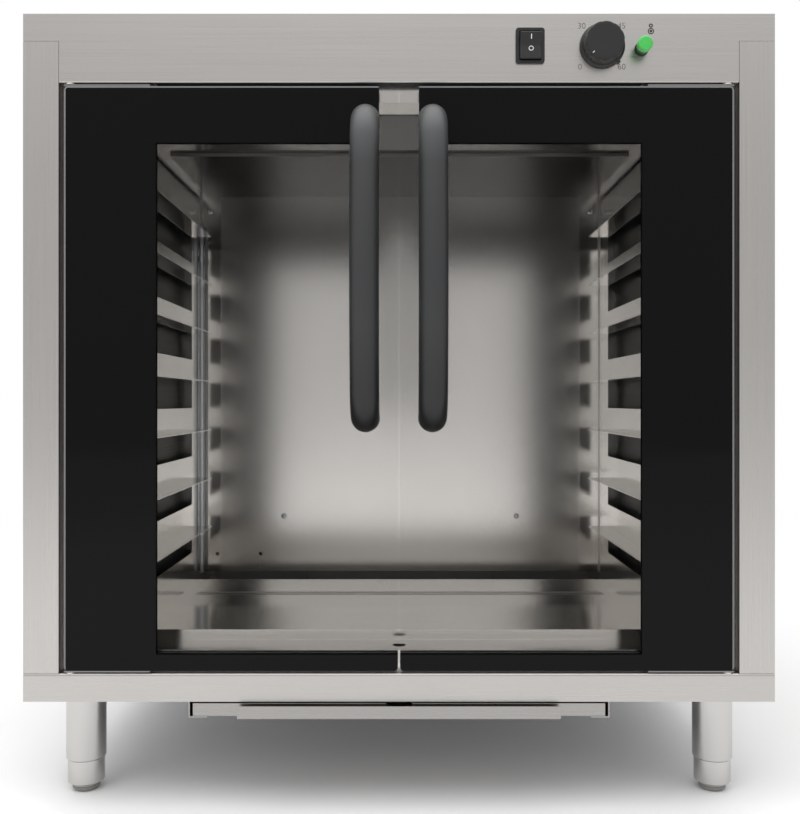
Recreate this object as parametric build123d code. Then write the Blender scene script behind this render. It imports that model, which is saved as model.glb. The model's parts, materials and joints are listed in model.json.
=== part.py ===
from build123d import *
import os

# Proofer cabinet with two glass doors, in millimetres.
# X runs to the right seen from the front, Y runs to the back, Z runs up.
# "Depth" is always measured backwards from the plane of the front panels.
# The origin is at floor level, in the middle of the cabinet's outer box.

# ---- cabinet ----
body_width = 784.0
foot_height = 112.4
sheet = 1.2
panel_joint = 0.3
fold_width = 16.5

# ---- front panels ----
header_height = 72.0
header_wing_height = 28.7
header_fold = 18.0
column_width = 37.0
column_return = 40.0
plinth_height = 29.1
plinth_fold = 15.0
skirt_overlap = 22.0

# ---- door frame behind the doors ----
frame_sheet = 1.5
frame_setback = 12.0
frame_return = 44.0
frame_side_return = 28.0
frame_rise = 12.0
frame_drop = 16.5
header_to_opening = 17.0
plinth_to_sill = 21.7

# ---- chamber ----
liner_sheet = 1.0
chamber_width = 604.0
rear_space = 116.0
duct_front_gap = 10.0
terminal_space = 51.0
ceiling_drop = 1.0
sill_to_floor = 13.2
lip_rise = 11.0
floor_slot = 80.0
seam_flange = 10.0
capillary_hole = 6.0
capillary_from_centre = 227.5
capillary_height = 27.0
duct_sheet = 1.0
duct_foot = 18.0
duct_strip_width = 30.0
duct_strip_sheet = 0.8
duct_strip_foot = 27.5
duct_hole = 5.5
duct_hole_height = 44.2
duct_outer_hole_from_centre = 277.5
duct_inner_hole_from_centre = 212.0
duct_small_hole = 3.0
duct_small_hole_height = 29.0
basin_inset = 10.0
basin_front_inset = 6.0
basin_depth = 2.0
basin_back_inset = 57.0
basin_rear_rise = 17.6
ceiling_plate_side_gap = 11.0
ceiling_plate_front_gap = 155.0
ceiling_plate_drop = 4.0

# ---- tray racks ----
rack_length = 380.0
rack_recess = 16.0
rack_sheet = 1.2
rack_clearance = 0.3
ledge_count = 7
ledge_pitch = 70.0
first_ledge_height = 95.0
top_ledge_space = 75.0
ledge_width = 29.0
ledge_front_margin = 16.0
ledge_back_margin = 53.4
window_height = 39.0
upright_width = 20.0
upright_margin = 10.0

# ---- heater under the rear slot ----
well_depth = 29.0
element_diameter = 8.5
element_end_gap = 17.0
element_pitch = 35.0
element_lead = 12.0
element_height = 13.0
bracket_count = 3
bracket_spacing = 150.0
bracket_sheet = 1.5
bracket_height = 24.0
bracket_length = 64.0
slide_fit = 0.1

# ---- insulation ----
side_insulation = 30.0
rear_insulation = 30.0
top_insulation = 20.0

# ---- doors ----
glass_thickness = 6.0
glass_corner = 4.0
door_side_gap = 5.8
door_centre_gap = 2.4
door_bottom_gap = 0.4
door_top_gap = 0.4
seal_width = 14.0
seal_gap = 0.3
seal_side_inset = 23.0
seal_top_inset = 3.4
seal_low_inset = 1.5
seal_end_gap = 2.5
seal_centre_inset = 23.0

# ---- door hinges ----
pin_diameter = 4.0
pin_inset = 5.5
pin_setback = 4.5
pin_fit = 0.05
top_shoe_thickness = 2.2
bottom_shoe_thickness = 1.4
shoe_length = 89.6
shoe_leg_height = 40.0
shoe_leg_thickness = 1.5
bush_wall = 1.0
bush_flange_diameter = 9.0
bush_flange_thickness = 1.2
bush_length = 5.4
hinge_bracket_width = 32.0
hinge_bracket_thickness = 3.0
hinge_bracket_rise = 12.0

# ---- handles ----
handle_diameter = 29.8
handle_reach = 58.0
handle_bow = 16.0
handle_bend = 24.0
handle_spacing = 309.6
handle_top_inset = 36.2
handle_side_inset = 33.5
handle_screw_diameter = 5.0
handle_screw_depth = 20.0
handle_screw_head = 12.0
handle_screw_head_height = 3.0
glass_hole_clearance = 1.0

# ---- controls on the header ----
control_height = 38.0
switch_from_side = 255.4
bezel_width = 30.0
bezel_height = 37.0
bezel_thickness = 2.5
bezel_corner = 3.0
switch_body_width = 26.0
switch_body_height = 34.0
switch_body_depth = 24.0
rocker_width = 21.8
rocker_height = 27.2
rocker_gap = 0.35
rocker_play = 1.6
rocker_tilt = 8.0
rocker_pivot_depth = 4.0
rocker_horn = 12.0
rocker_valley = 9.0
rocker_pin_diameter = 3.0
rocker_pin_length = 1.0
knob_from_side = 180.2
knob_diameter = 47.0
knob_front_diameter = 40.0
knob_skirt = 3.0
knob_height = 17.0
knob_gap = 0.8
knob_lug = 1.4
knob_wall = 3.0
shaft_diameter = 6.0
shaft_length = 24.0
shaft_entry = 10.0
shaft_hole = 10.0
thermostat_width = 44.0
thermostat_height = 40.0
thermostat_depth = 34.0
lamp_from_side = 139.4
lamp_drop = 3.4
lamp_root_diameter = 13.4
lamp_front_diameter = 15.4
lamp_reach = 19.0
lamp_edge = 1.5
lamp_collar_diameter = 14.6
lamp_collar = 1.5
lamp_stem_diameter = 10.0
lamp_stem_length = 24.0
lamp_nut_width = 14.0
lamp_nut_thickness = 4.0

# ---- temperature probe ----
guard_diameter = 6.0
guard_wall = 0.8
guard_bottom = 19.0
guard_top_drop = 50.0
guard_clip_wall = 1.0
guard_clip_height = 8.0
guard_clip_tab = 14.0
guard_front_gap = 6.0
guard_clip_margin = 55.0
bulb_diameter = 3.6
bulb_length = 120.0

# ---- small screws of the liner ----
liner_screw_diameter = 4.0
liner_screw_head = 8.0
liner_screw_head_height = 2.0
liner_screw_length = 5.0
strip_screw_spacing = 576.2
strip_screw_top_drop = 26.7
duct_screw_spacing = 353.0
duct_screw_height = 101.4

# ---- electrics at the rear ----
gland_from_side = 92.0
gland_thread = 20.0
gland_bore = 10.0
gland_nut_width = 24.0
gland_nut_thickness = 6.0
gland_cap_diameter = 22.0
gland_reach = 16.0
gland_lock_thickness = 5.0
gland_drop = 41.3
stud_diameter = 6.0
stud_nut_width = 10.0
stud_nut_thickness = 5.0
stud_reach = 13.0
stud_inner = 8.0
stud_from_side = 62.0
stud_height = 46.0
terminal_width = 60.0
terminal_height = 24.0
terminal_depth = 24.0
terminal_from_gland = 68.0
terminal_slot = 8.0
terminal_ways = 4
vent_count = 12
vent_pitch = 14.0
vent_width = 5.0
vent_length = 22.0
vent_drop = 39.3

# ---- screws of the outer panels ----
panel_screw_diameter = 4.0
panel_screw_head = 8.0
panel_screw_head_height = 2.2
panel_screw_length = 8.0
panel_screw_rows = 4
panel_screw_margin = 36.0
panel_screw_inset = 10.0

# ---- drip tray and its runners ----
drip_tray_width = 430.6
drip_tray_depth = 194.0
drip_tray_height = 13.3
drip_tray_sheet = 1.0
drip_tray_setback = 1.0
tray_runner_sheet = 1.5
tray_side_gap = 3.0
tray_runner_lip = 20.0
tray_runner_length = 209.0
tray_runner_flange = 16.0
tray_top_gap = 1.8
tray_seat_gap = 0.2
grip_width = 335.0
grip_reach = 10.0
grip_height = 13.0
tray_notch_width = 27.0
tray_notch_depth = 5.0
spout_diameter = 26.0
spout_bore = 14.0
spout_depth = 33.0
spout_bottom_gap = 2.5
spout_stem_diameter = 18.0

# ---- feet ----
foot_fold_gap = 13.0
foot_plate = 58.0
foot_plate_thickness = 3.0
sleeve_diameter = 42.4
sleeve_wall = 1.5
sleeve_bottom = 35.5
sleeve_plug = 12.0
foot_diameter = 39.0
foot_stem_diameter = 12.0
foot_stem_rise = 62.0
foot_pad_diameter = 29.0
foot_pad_height = 6.5
foot_edge = 1.0

# ---- places worked out from the sizes above ----
half_width = body_width / 2
column_inner = half_width - column_width
body_bottom = foot_height
plinth_top = body_bottom + plinth_height
sill_z = plinth_top + plinth_to_sill
floor_z = sill_z - sill_to_floor
top_ledge_z = floor_z + first_ledge_height + ledge_pitch * (ledge_count - 1)
ceiling_z = top_ledge_z + top_ledge_space
opening_top = ceiling_z + ceiling_drop
header_bottom = opening_top + header_to_opening
body_top = header_bottom + header_height
wing_bottom = body_top - header_wing_height
frame_back = frame_setback + frame_return
frame_top = header_bottom + frame_rise
frame_bottom = plinth_top - frame_drop
chamber_half = chamber_width / 2
chamber_front = frame_back
rack_front = chamber_front + rack_clearance
rack_back = chamber_front + rack_length
duct_front = rack_back + duct_front_gap
chamber_back = rack_back + rear_space
body_depth = chamber_back + liner_sheet + rear_insulation + terminal_space
front_y = (handle_reach - body_depth - gland_reach) / 2
recess_half = chamber_half + rack_recess
liner_bottom = floor_z - liner_sheet
liner_top = ceiling_z + liner_sheet
floor_back = chamber_back - floor_slot
well_bottom = liner_bottom - well_depth
base_z = body_bottom + sheet
base_top = base_z + sheet
glass_outer = column_inner - door_side_gap
glass_inner = door_centre_gap / 2
glass_bottom = plinth_top + bush_flange_thickness + door_bottom_gap + bottom_shoe_thickness
glass_top = header_bottom - bush_flange_thickness - door_top_gap - top_shoe_thickness
pin_x = glass_outer - pin_inset
shoe_inner = glass_outer - shoe_length
handle_x = glass_inner + handle_side_inset
handle_top_z = glass_top - handle_top_inset
handle_bottom_z = handle_top_z - handle_spacing
control_z = header_bottom + control_height
switch_x = half_width - switch_from_side
knob_x = half_width - knob_from_side
lamp_x = half_width - lamp_from_side
tray_half = drip_tray_width / 2
tray_bottom = body_bottom - tray_top_gap - drip_tray_height
runner_bottom = tray_bottom - tray_seat_gap - tray_runner_sheet
runner_x = tray_half + tray_side_gap
guard_x = chamber_half - guard_diameter / 2 - guard_clip_wall - rack_clearance
guard_depth = rack_back - guard_front_gap
gland_x = half_width - gland_from_side
gland_z = wing_bottom - gland_drop
terminal_x = gland_x - terminal_from_gland
stud_x = half_width - stud_from_side
foot_x = half_width - sheet - fold_width - panel_joint - foot_plate / 2
foot_front_depth = plinth_fold + foot_fold_gap + foot_plate / 2
foot_rear_depth = body_depth - foot_front_depth
foot_plate_bottom = base_z - foot_plate_thickness


# ---- small helpers ----
def block(x_low, x_high, depth_low, depth_high, z_low, z_high):
    size = (x_high - x_low, depth_high - depth_low, z_high - z_low)
    middle = ((x_low + x_high) / 2, front_y + (depth_low + depth_high) / 2, (z_low + z_high) / 2)
    return Pos(*middle) * Box(*size)


def centred(half, depth_low, depth_high, z_low, z_high):
    return block(-half, half, depth_low, depth_high, z_low, z_high)


def post(x, depth, z_low, z_high, diameter):
    z_axis = Pos(x, front_y + depth, (z_low + z_high) / 2)
    return z_axis * Cylinder(diameter / 2, z_high - z_low)


def rod(x, z, depth_low, depth_high, diameter):
    y_axis = Pos(x, front_y + (depth_low + depth_high) / 2, z) * Rot(90, 0, 0)
    return y_axis * Cylinder(diameter / 2, depth_high - depth_low)


def bar(x_low, x_high, depth, z, diameter):
    x_axis = Pos((x_low + x_high) / 2, front_y + depth, z) * Rot(0, 90, 0)
    return x_axis * Cylinder(diameter / 2, x_high - x_low)


def hexagon(x, z, depth_low, depth_high, width):
    flat = RegularPolygon(width / 2, 6, major_radius=False)
    return Pos(x, front_y + depth_high, z) * Rot(90, 0, 0) * extrude(flat, depth_high - depth_low)


def joined(pieces):
    whole = pieces[0]
    for piece in pieces[1:]:
        whole = whole + piece
    return whole


def left_of(shape):
    return shape.mirror(Plane.YZ)


def both(shape):
    return [shape, left_of(shape)]


def group(pieces):
    solids = []
    for piece in pieces:
        solids.extend(piece.solids())
    return Compound(children=solids)


# ---- outer panels ----
def panel_screw_places():
    span = wing_bottom - body_bottom - 2 * panel_screw_margin
    pitch = span / (panel_screw_rows - 1)
    x = half_width - sheet - panel_screw_inset
    rows = [body_bottom + panel_screw_margin + pitch * row for row in range(panel_screw_rows)]
    return [(side * x, z) for side in (-1, 1) for z in rows]


def top_panel():
    front = sheet + panel_joint
    top = centred(half_width, front, body_depth, body_top - sheet, body_top)
    side = block(half_width - sheet, half_width, front, body_depth, wing_bottom, body_top)
    rear = centred(half_width, body_depth - sheet, body_depth, wing_bottom, body_top)
    return joined([top, rear] + both(side))


def control_panel():
    inner = column_inner - panel_joint
    wings = centred(half_width, 0, sheet, wing_bottom, body_top)
    face = centred(inner, 0, sheet, header_bottom, wing_bottom)
    lower_fold = centred(inner, 0, frame_setback, header_bottom, header_bottom + sheet)
    upper_fold = centred(half_width - 3 * sheet, 0, header_fold, body_top - 2 * sheet, body_top - sheet)
    ends = both(block(inner - sheet, inner, 0, frame_setback - 2 * sheet, header_bottom, wing_bottom))
    panel = joined([wings, face, lower_fold, upper_fold] + ends)
    panel -= block(
        switch_x - switch_body_width / 2 - slide_fit,
        switch_x + switch_body_width / 2 + slide_fit,
        -sheet, 2 * sheet,
        control_z - switch_body_height / 2 - slide_fit,
        control_z + switch_body_height / 2 + slide_fit,
    )
    panel -= rod(knob_x, control_z, -sheet, 2 * sheet, shaft_hole)
    stem_hole = lamp_stem_diameter + 2 * slide_fit
    panel -= rod(lamp_x, control_z - lamp_drop, -sheet, 2 * sheet, stem_hole)
    bush_hole = pin_diameter + 2 * (bush_wall + slide_fit)
    for side in (-1, 1):
        low = header_bottom - sheet
        panel -= post(side * pin_x, pin_setback, low, header_bottom + 2 * sheet, bush_hole)
    return panel


def right_side_panel():
    top = wing_bottom - panel_joint
    low = plinth_top + panel_joint
    outer = half_width - sheet
    upper = block(outer, half_width, 0, body_depth, low, top)
    lower = block(outer, half_width, sheet + panel_joint, body_depth, body_bottom, low)
    column = block(column_inner, half_width, 0, sheet, low, top)
    inner_return = block(column_inner, column_inner + sheet, 0, column_return, low, top)
    floor_fold = block(outer - fold_width, outer, plinth_fold + panel_joint, body_depth - 2 * sheet,
                       body_bottom, body_bottom + sheet)
    rear_fold = block(outer - fold_width, outer, body_depth - 2 * sheet, body_depth - sheet,
                      base_top + panel_joint, top)
    upstand = block(outer - sheet, outer, header_fold + panel_joint, body_depth - 3 * sheet,
                    top - skirt_overlap, body_top - 3 * sheet)
    panel = joined([upper, lower, column, inner_return, floor_fold, rear_fold, upstand])
    for x, z in panel_screw_places():
        panel -= rod(x, z, body_depth - 3 * sheet, body_depth, panel_screw_diameter + 2 * slide_fit)
    return panel


def rear_panel():
    half = half_width - sheet - panel_joint
    top = wing_bottom - panel_joint
    panel = centred(half, body_depth - sheet, body_depth, body_bottom, top)
    fold_half = half_width - sheet - fold_width - panel_joint
    panel += centred(fold_half, body_depth - plinth_fold - sheet, body_depth, body_bottom,
                     body_bottom + sheet)
    panel += centred(fold_half - sheet, body_depth - 2 * sheet, body_depth - sheet,
                     top - skirt_overlap, body_top - 3 * sheet)
    for x, z in panel_screw_places():
        panel -= rod(x, z, body_depth - 2 * sheet, body_depth + sheet, panel_screw_diameter + 2 * slide_fit)
    panel -= rod(gland_x, gland_z, body_depth - 3 * sheet, body_depth + sheet,
                 gland_thread + 2 * slide_fit)
    panel -= rod(stud_x, body_bottom + stud_height, body_depth - 3 * sheet,
                 body_depth + sheet, stud_diameter + 2 * slide_fit)
    for number in range(vent_count):
        x = (number - (vent_count - 1) / 2) * vent_pitch
        z = wing_bottom - vent_drop
        panel -= block(x - vent_width / 2, x + vent_width / 2, body_depth - 2 * sheet,
                       body_depth + sheet, z - vent_length, z)
    return panel


def bottom_front_panel():
    face = centred(half_width, 0, sheet, body_bottom, plinth_top)
    upper_fold = centred(column_inner - panel_joint, 0, frame_setback, plinth_top - sheet, plinth_top)
    lower_fold = centred(half_width - 2 * sheet, 0, plinth_fold, body_bottom, body_bottom + sheet)
    panel = joined([face, upper_fold, lower_fold])
    bush_hole = pin_diameter + 2 * (bush_wall + slide_fit)
    for side in (-1, 1):
        panel -= post(side * pin_x, pin_setback, plinth_top - 2 * sheet, plinth_top + sheet, bush_hole)
    return panel


def base_pan():
    pan = centred(half_width - sheet - panel_joint, sheet + panel_joint,
                  body_depth - sheet - panel_joint, base_z, base_top)
    pan -= post(0, spout_depth, base_z - sheet, base_top + sheet, spout_stem_diameter + 2 * slide_fit)
    return pan


def panel_screws():
    screws = []
    for x, z in panel_screw_places():
        shank = rod(x, z, body_depth - panel_screw_length, body_depth, panel_screw_diameter)
        head = rod(x, z, body_depth, body_depth + panel_screw_head_height, panel_screw_head)
        rim = head.edges().sort_by(Axis.Y)[-1]
        screws.append(shank + fillet(rim, panel_screw_head_height * 0.6))
    return group(screws)


# ---- door frame and chamber ----
def front_frame():
    face_back = frame_setback + frame_sheet
    hole = chamber_half
    face = centred(column_inner, frame_setback, face_back, frame_bottom, frame_top)
    face -= centred(hole, frame_setback - 1, face_back + 1, sill_z, opening_top)
    sleeve = centred(hole + frame_sheet, frame_setback, frame_back, sill_z - frame_sheet,
                     opening_top + frame_sheet)
    sleeve -= centred(hole, frame_setback - 1, frame_back + 1, sill_z, opening_top)
    sides = both(block(column_inner - frame_sheet, column_inner, frame_setback,
                       frame_setback + frame_side_return, frame_bottom, frame_top))
    frame = joined([face, sleeve] + sides)
    frame -= post(0, spout_depth, sill_z - 2 * frame_sheet, sill_z + 1, spout_bore)
    return frame


def chamber_ceiling():
    wide = centred(recess_half, chamber_front, rack_back, ceiling_z, liner_top)
    narrow = centred(chamber_half, rack_back, chamber_back, ceiling_z, liner_top)
    front_fold = centred(recess_half - liner_sheet, chamber_front, chamber_front + liner_sheet,
                         ceiling_z, opening_top + frame_sheet + frame_rise / 2)
    return joined([wide, narrow, front_fold])


def ceiling_plate():
    half = chamber_half - ceiling_plate_side_gap
    front = chamber_front + ceiling_plate_front_gap
    low = ceiling_z - ceiling_plate_drop
    plate = centred(half, front, duct_front, low, ceiling_z)
    plate -= centred(half - liner_sheet, front + liner_sheet, duct_front - liner_sheet, low + liner_sheet,
                     ceiling_z + 1)
    return plate


def right_liner_wall():
    t = liner_sheet
    wall = block(recess_half, recess_half + t, chamber_front - t, rack_back + t, liner_bottom, liner_top)
    wall += block(chamber_half + frame_sheet, recess_half, chamber_front - t, chamber_front,
                  sill_z, opening_top)
    wall += block(chamber_half, recess_half, rack_back, rack_back + t, liner_bottom, liner_top)
    wall += block(chamber_half, chamber_half + t, rack_back, chamber_back, liner_bottom, liner_top)
    wall += block(chamber_half - seam_flange, chamber_half, chamber_back - t, chamber_back, floor_z,
                  ceiling_z)
    return wall


def chamber_back_wall():
    wall = centred(chamber_half + liner_sheet, chamber_back, chamber_back + liner_sheet, well_bottom,
                   liner_top)
    wall -= rod(-capillary_from_centre, floor_z + capillary_height, chamber_back - 1,
                chamber_back + 2 * liner_sheet, capillary_hole)
    return wall


def duct_holes():
    return [
        (-duct_outer_hole_from_centre, duct_hole_height, duct_hole),
        (-duct_inner_hole_from_centre, duct_hole_height, duct_hole),
        (-duct_inner_hole_from_centre, duct_small_hole_height, duct_small_hole),
    ]


def duct_screw_places():
    strip_front = duct_front - duct_strip_sheet
    return [
        (strip_screw_spacing / 2, ceiling_z - strip_screw_top_drop, strip_front),
        (duct_screw_spacing / 2, floor_z + duct_screw_height, duct_front),
    ]


def air_duct_panel():
    back = duct_front + duct_sheet
    front = duct_front - duct_strip_sheet
    panel = centred(chamber_half, duct_front, back, floor_z + duct_foot, ceiling_z)
    strip = block(chamber_half - duct_strip_width, chamber_half, front, back,
                  floor_z + duct_strip_foot, ceiling_z - ceiling_plate_drop)
    panel = joined([panel] + both(strip))
    for x, height, diameter in duct_holes():
        panel -= rod(x, floor_z + height, front - 1, back + 1, diameter)
    for x, z, seat in duct_screw_places():
        for side in (-1, 1):
            panel -= rod(side * x, z, front - 1, back + 1, liner_screw_diameter + 2 * slide_fit)
    return panel


def chamber_floor():
    t = liner_sheet
    wide = centred(recess_half, chamber_front, rack_back, liner_bottom, floor_z)
    narrow = centred(chamber_half, rack_back, floor_back, liner_bottom, floor_z)
    lip = centred(recess_half - t, chamber_front, chamber_front + t, liner_bottom, sill_z + lip_rise)
    for side in (-1, 1):
        outer = sorted((side * chamber_half, side * recess_half))
        lip -= block(outer[0], outer[1], chamber_front - t, chamber_front + 2 * t, floor_z,
                     sill_z + 2 * lip_rise)
    half = chamber_half - basin_inset
    front = chamber_front + basin_front_inset
    back = rack_back - basin_back_inset
    tub = centred(half + t, front - t, back + t, liner_bottom - basin_depth, floor_z)
    hollow = centred(half, front, back, floor_z - basin_depth, floor_z + 1)
    rear_rise = centred(chamber_half, back + t, back + 2 * t, liner_bottom, floor_z + basin_rear_rise)
    return joined([wide, narrow, lip, tub, rear_rise]) - hollow


def screw_inward(along, length, head_height, diameter, head_diameter):
    shank = Pos(0, 0, -length / 2) * Cylinder(diameter / 2, length)
    head = Pos(0, 0, head_height / 2) * Cylinder(head_diameter / 2, head_height)
    rim = head.edges().sort_by(Axis.Z)[-1]
    head = fillet(rim, head_height * 0.6)
    slot = Pos(0, 0, head_height) * Box(head_diameter * 0.6, head_height * 0.4, head_height * 0.8)
    return along * (shank + (head - slot))


def liner_screws():
    screws = []
    sizes = (liner_screw_length, liner_screw_head_height, liner_screw_diameter, liner_screw_head)
    for x, z, seat in duct_screw_places():
        screws += both(screw_inward(Pos(x, front_y + seat, z) * Rot(90, 0, 0), *sizes))
    return group(screws)


# ---- tray racks ----
def ledge_heights():
    return [floor_z + first_ledge_height + ledge_pitch * number for number in range(ledge_count)]


def ledge_ends():
    return rack_front + ledge_front_margin, rack_back - ledge_back_margin


def right_tray_rack():
    front, back = ledge_ends()
    outer = chamber_half + rack_sheet
    rack = block(chamber_half, outer, rack_front, rack_back - rack_clearance, floor_z, ceiling_z)
    for z in ledge_heights():
        rack -= block(chamber_half - 1, outer + 1, front, back, z - window_height, z - rack_sheet)
    return rack


def tray_ledges():
    front, back = ledge_ends()
    ledges = []
    for z in ledge_heights():
        ledge = block(chamber_half - ledge_width, chamber_half, front, back, z - rack_sheet, z)
        ledges += both(ledge)
    return group(ledges)


def rack_uprights():
    wall = rack_sheet
    inner = chamber_half + rack_sheet
    uprights = []
    for front in (rack_front + upright_margin, rack_back - upright_margin - upright_width):
        back = front + upright_width
        upright = block(inner, recess_half, front, back, floor_z, ceiling_z)
        upright -= block(inner + wall, recess_half + 1, front + wall, back - wall, floor_z - 1,
                         ceiling_z + 1)
        uprights += both(upright)
    return group(uprights)


# ---- heater ----
def element_depths():
    middle = (floor_back + chamber_back) / 2
    return middle - element_pitch / 2, middle + element_pitch / 2


def heater_well():
    t = liner_sheet
    bottom = centred(chamber_half, floor_back - t, chamber_back, well_bottom, well_bottom + t)
    front = centred(chamber_half, floor_back - t, floor_back, well_bottom, liner_bottom)
    side = block(chamber_half - t, chamber_half, floor_back - t, chamber_back, well_bottom, liner_bottom)
    upstand = centred(chamber_half - seam_flange, chamber_back - t, chamber_back, well_bottom,
                      floor_z + seam_flange)
    well = joined([bottom, front, upstand] + both(side))
    z = well_bottom + t + element_height
    for depth in element_depths():
        well -= bar(-chamber_half - 1, -chamber_half + 2 * t, depth, z, element_diameter + 2 * slide_fit)
    return well


def heating_element():
    z = well_bottom + liner_sheet + element_height
    near, far = element_depths()
    radius = element_diameter / 2
    left = -chamber_half - element_lead
    right = chamber_half - liner_sheet - element_end_gap - radius - element_pitch / 2
    legs = bar(left, right, near, z, element_diameter) + bar(left, right, far, z, element_diameter)
    ring = Pos(right, front_y + (near + far) / 2, z) * Torus(element_pitch / 2, radius)
    half_box = block(right, right + element_pitch, near - radius - 1, far + radius + 1, z - radius - 1,
                     z + radius + 1)
    element = legs + (ring & half_box)
    for depth in (near, far):
        element += bar(left - element_lead / 2, left, depth, z, element_diameter / 2)
    return element


def heater_brackets():
    low = well_bottom + liner_sheet
    z = low + element_height
    near, far = element_depths()
    middle = (near + far) / 2
    brackets = []
    for number in range(bracket_count):
        x = (number - (bracket_count - 1) / 2) * bracket_spacing
        plate = block(x - bracket_sheet / 2, x + bracket_sheet / 2, middle - bracket_length / 2,
                      middle + bracket_length / 2, low, low + bracket_height)
        for depth in (near, far):
            plate -= bar(x - bracket_sheet, x + bracket_sheet, depth, z,
                         element_diameter + 2 * slide_fit)
        brackets.append(plate)
    return group(brackets)


def insulation_slabs():
    wall = liner_sheet
    side = block(recess_half + wall, recess_half + wall + side_insulation, chamber_front,
                 rack_back, liner_bottom, liner_top)
    rear = centred(recess_half, chamber_back + wall, chamber_back + wall + rear_insulation,
                   floor_z, liner_top)
    top = centred(recess_half, chamber_front + 2 * wall, chamber_back, liner_top,
                  liner_top + top_insulation)
    return group(both(side) + [rear, top])


# ---- doors ----
def handle_screw_heights():
    return handle_top_z, handle_bottom_z


def right_door_glass():
    glass = block(glass_inner, glass_outer, 0, glass_thickness, glass_bottom, glass_top)
    glass = fillet(glass.edges().filter_by(Axis.Y), glass_corner)
    hole = handle_screw_diameter + 2 * glass_hole_clearance
    for z in handle_screw_heights():
        glass -= rod(handle_x, z, -1, glass_thickness + 1, hole)
    return glass


def right_door_seal():
    front = glass_thickness
    back = frame_setback - seal_gap
    outer = glass_outer - seal_side_inset
    leg_low = glass_bottom + shoe_leg_height + seal_end_gap
    leg_high = glass_top - shoe_leg_height - seal_end_gap
    top = glass_top - seal_top_inset
    low = glass_bottom + seal_low_inset
    side = block(outer - seal_width, outer, front, back, leg_low, leg_high)
    upper = block(seal_centre_inset, shoe_inner - seal_end_gap, front, back,
                  opening_top + seal_low_inset, top)
    lower = block(glass_inner + seal_low_inset, shoe_inner - seal_end_gap, front, back, low,
                  low + seal_width)
    return group([side, upper, lower])


def shoe(web_low, web_high, leg_low, leg_high):
    leg_back = glass_thickness + shoe_leg_thickness
    web = block(shoe_inner, glass_outer, 0, leg_back, web_low, web_high)
    leg = block(shoe_inner, glass_outer, glass_thickness, leg_back, leg_low, leg_high)
    return web + leg


def right_top_hinge_shoe():
    top = glass_top + top_shoe_thickness
    pin = post(pin_x, pin_setback, glass_top + 1, header_bottom + bush_length, pin_diameter)
    return shoe(glass_top, top, glass_top - shoe_leg_height, top) + pin


def right_bottom_hinge_shoe():
    low = glass_bottom - bottom_shoe_thickness
    pin = post(pin_x, pin_setback, plinth_top - bush_length, glass_bottom - 1, pin_diameter)
    return shoe(low, glass_bottom, low, glass_bottom + shoe_leg_height) + pin


def hinge_bushes():
    outer = pin_diameter + 2 * bush_wall
    hole = pin_diameter + 2 * pin_fit
    bushes = []
    for side in (-1, 1):
        x = side * pin_x
        upper = post(x, pin_setback, header_bottom, header_bottom + bush_length, outer)
        upper += post(x, pin_setback, header_bottom - bush_flange_thickness, header_bottom,
                      bush_flange_diameter)
        upper -= post(x, pin_setback, header_bottom - 3, header_bottom + bush_length + 1, hole)
        lower = post(x, pin_setback, plinth_top - bush_length, plinth_top, outer)
        lower += post(x, pin_setback, plinth_top, plinth_top + bush_flange_thickness,
                      bush_flange_diameter)
        lower -= post(x, pin_setback, plinth_top - bush_length - 1, plinth_top + 3, hole)
        bushes += [upper, lower]
    return group(bushes)


def hinge_brackets():
    t = hinge_bracket_thickness
    outer = column_inner - 2 * sheet
    inner = outer - hinge_bracket_width
    front = sheet
    low = header_bottom + sheet
    upper = block(inner, outer, front, frame_setback, low, low + t)
    upper += block(inner, outer, frame_setback - t, frame_setback, low,
                   frame_top - panel_joint)
    high = plinth_top - sheet
    lower = block(inner, outer, front, frame_setback, high - t, high)
    lower += block(inner, outer, frame_setback - t, frame_setback, high - hinge_bracket_rise, high)
    hole = pin_diameter + 2 * (bush_wall + slide_fit)
    upper -= post(pin_x, pin_setback, low - 1, low + t + 1, hole)
    lower -= post(pin_x, pin_setback, high - t - 1, high + 1, hole)
    return group(both(upper) + both(lower))


def right_door_handle():
    radius = handle_diameter / 2
    middle_reach = handle_reach - radius
    end_reach = middle_reach - handle_bow
    y_end = front_y - end_reach
    y_middle = front_y - middle_reach
    z_middle = (handle_top_z + handle_bottom_z) / 2
    glass_top_point = (handle_x, front_y, handle_top_z)
    top_corner = (handle_x, y_end, handle_top_z)
    middle = (handle_x, y_middle, z_middle)
    bottom_corner = (handle_x, y_end, handle_bottom_z)
    glass_bottom_point = (handle_x, front_y, handle_bottom_z)
    upper_leg = Line(glass_top_point, top_corner)
    bow = ThreePointArc(top_corner, middle, bottom_corner)
    lower_leg = Line(bottom_corner, glass_bottom_point)
    sharp = Wire([upper_leg.edge(), bow.edge(), lower_leg.edge()])
    corners = [point for point in sharp.vertices() if abs(point.Y - y_end) < 0.01]
    path = sharp.fillet_2d(handle_bend, corners)
    start = Plane(origin=glass_top_point, z_dir=(0, -1, 0))
    handle = sweep(start * Circle(radius), path=path)
    for z in handle_screw_heights():
        handle -= rod(handle_x, z, -handle_screw_depth - 1, 1, handle_screw_diameter)
    return handle


def right_handle_screws():
    screws = []
    for z in handle_screw_heights():
        shank = rod(handle_x, z, -handle_screw_depth, glass_thickness, handle_screw_diameter)
        head = rod(handle_x, z, glass_thickness, glass_thickness + handle_screw_head_height,
                   handle_screw_head)
        head = fillet(head.edges().sort_by(Axis.Y)[-1], handle_screw_head_height * 0.6)
        screws.append(shank + head)
    return group(screws)


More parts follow.
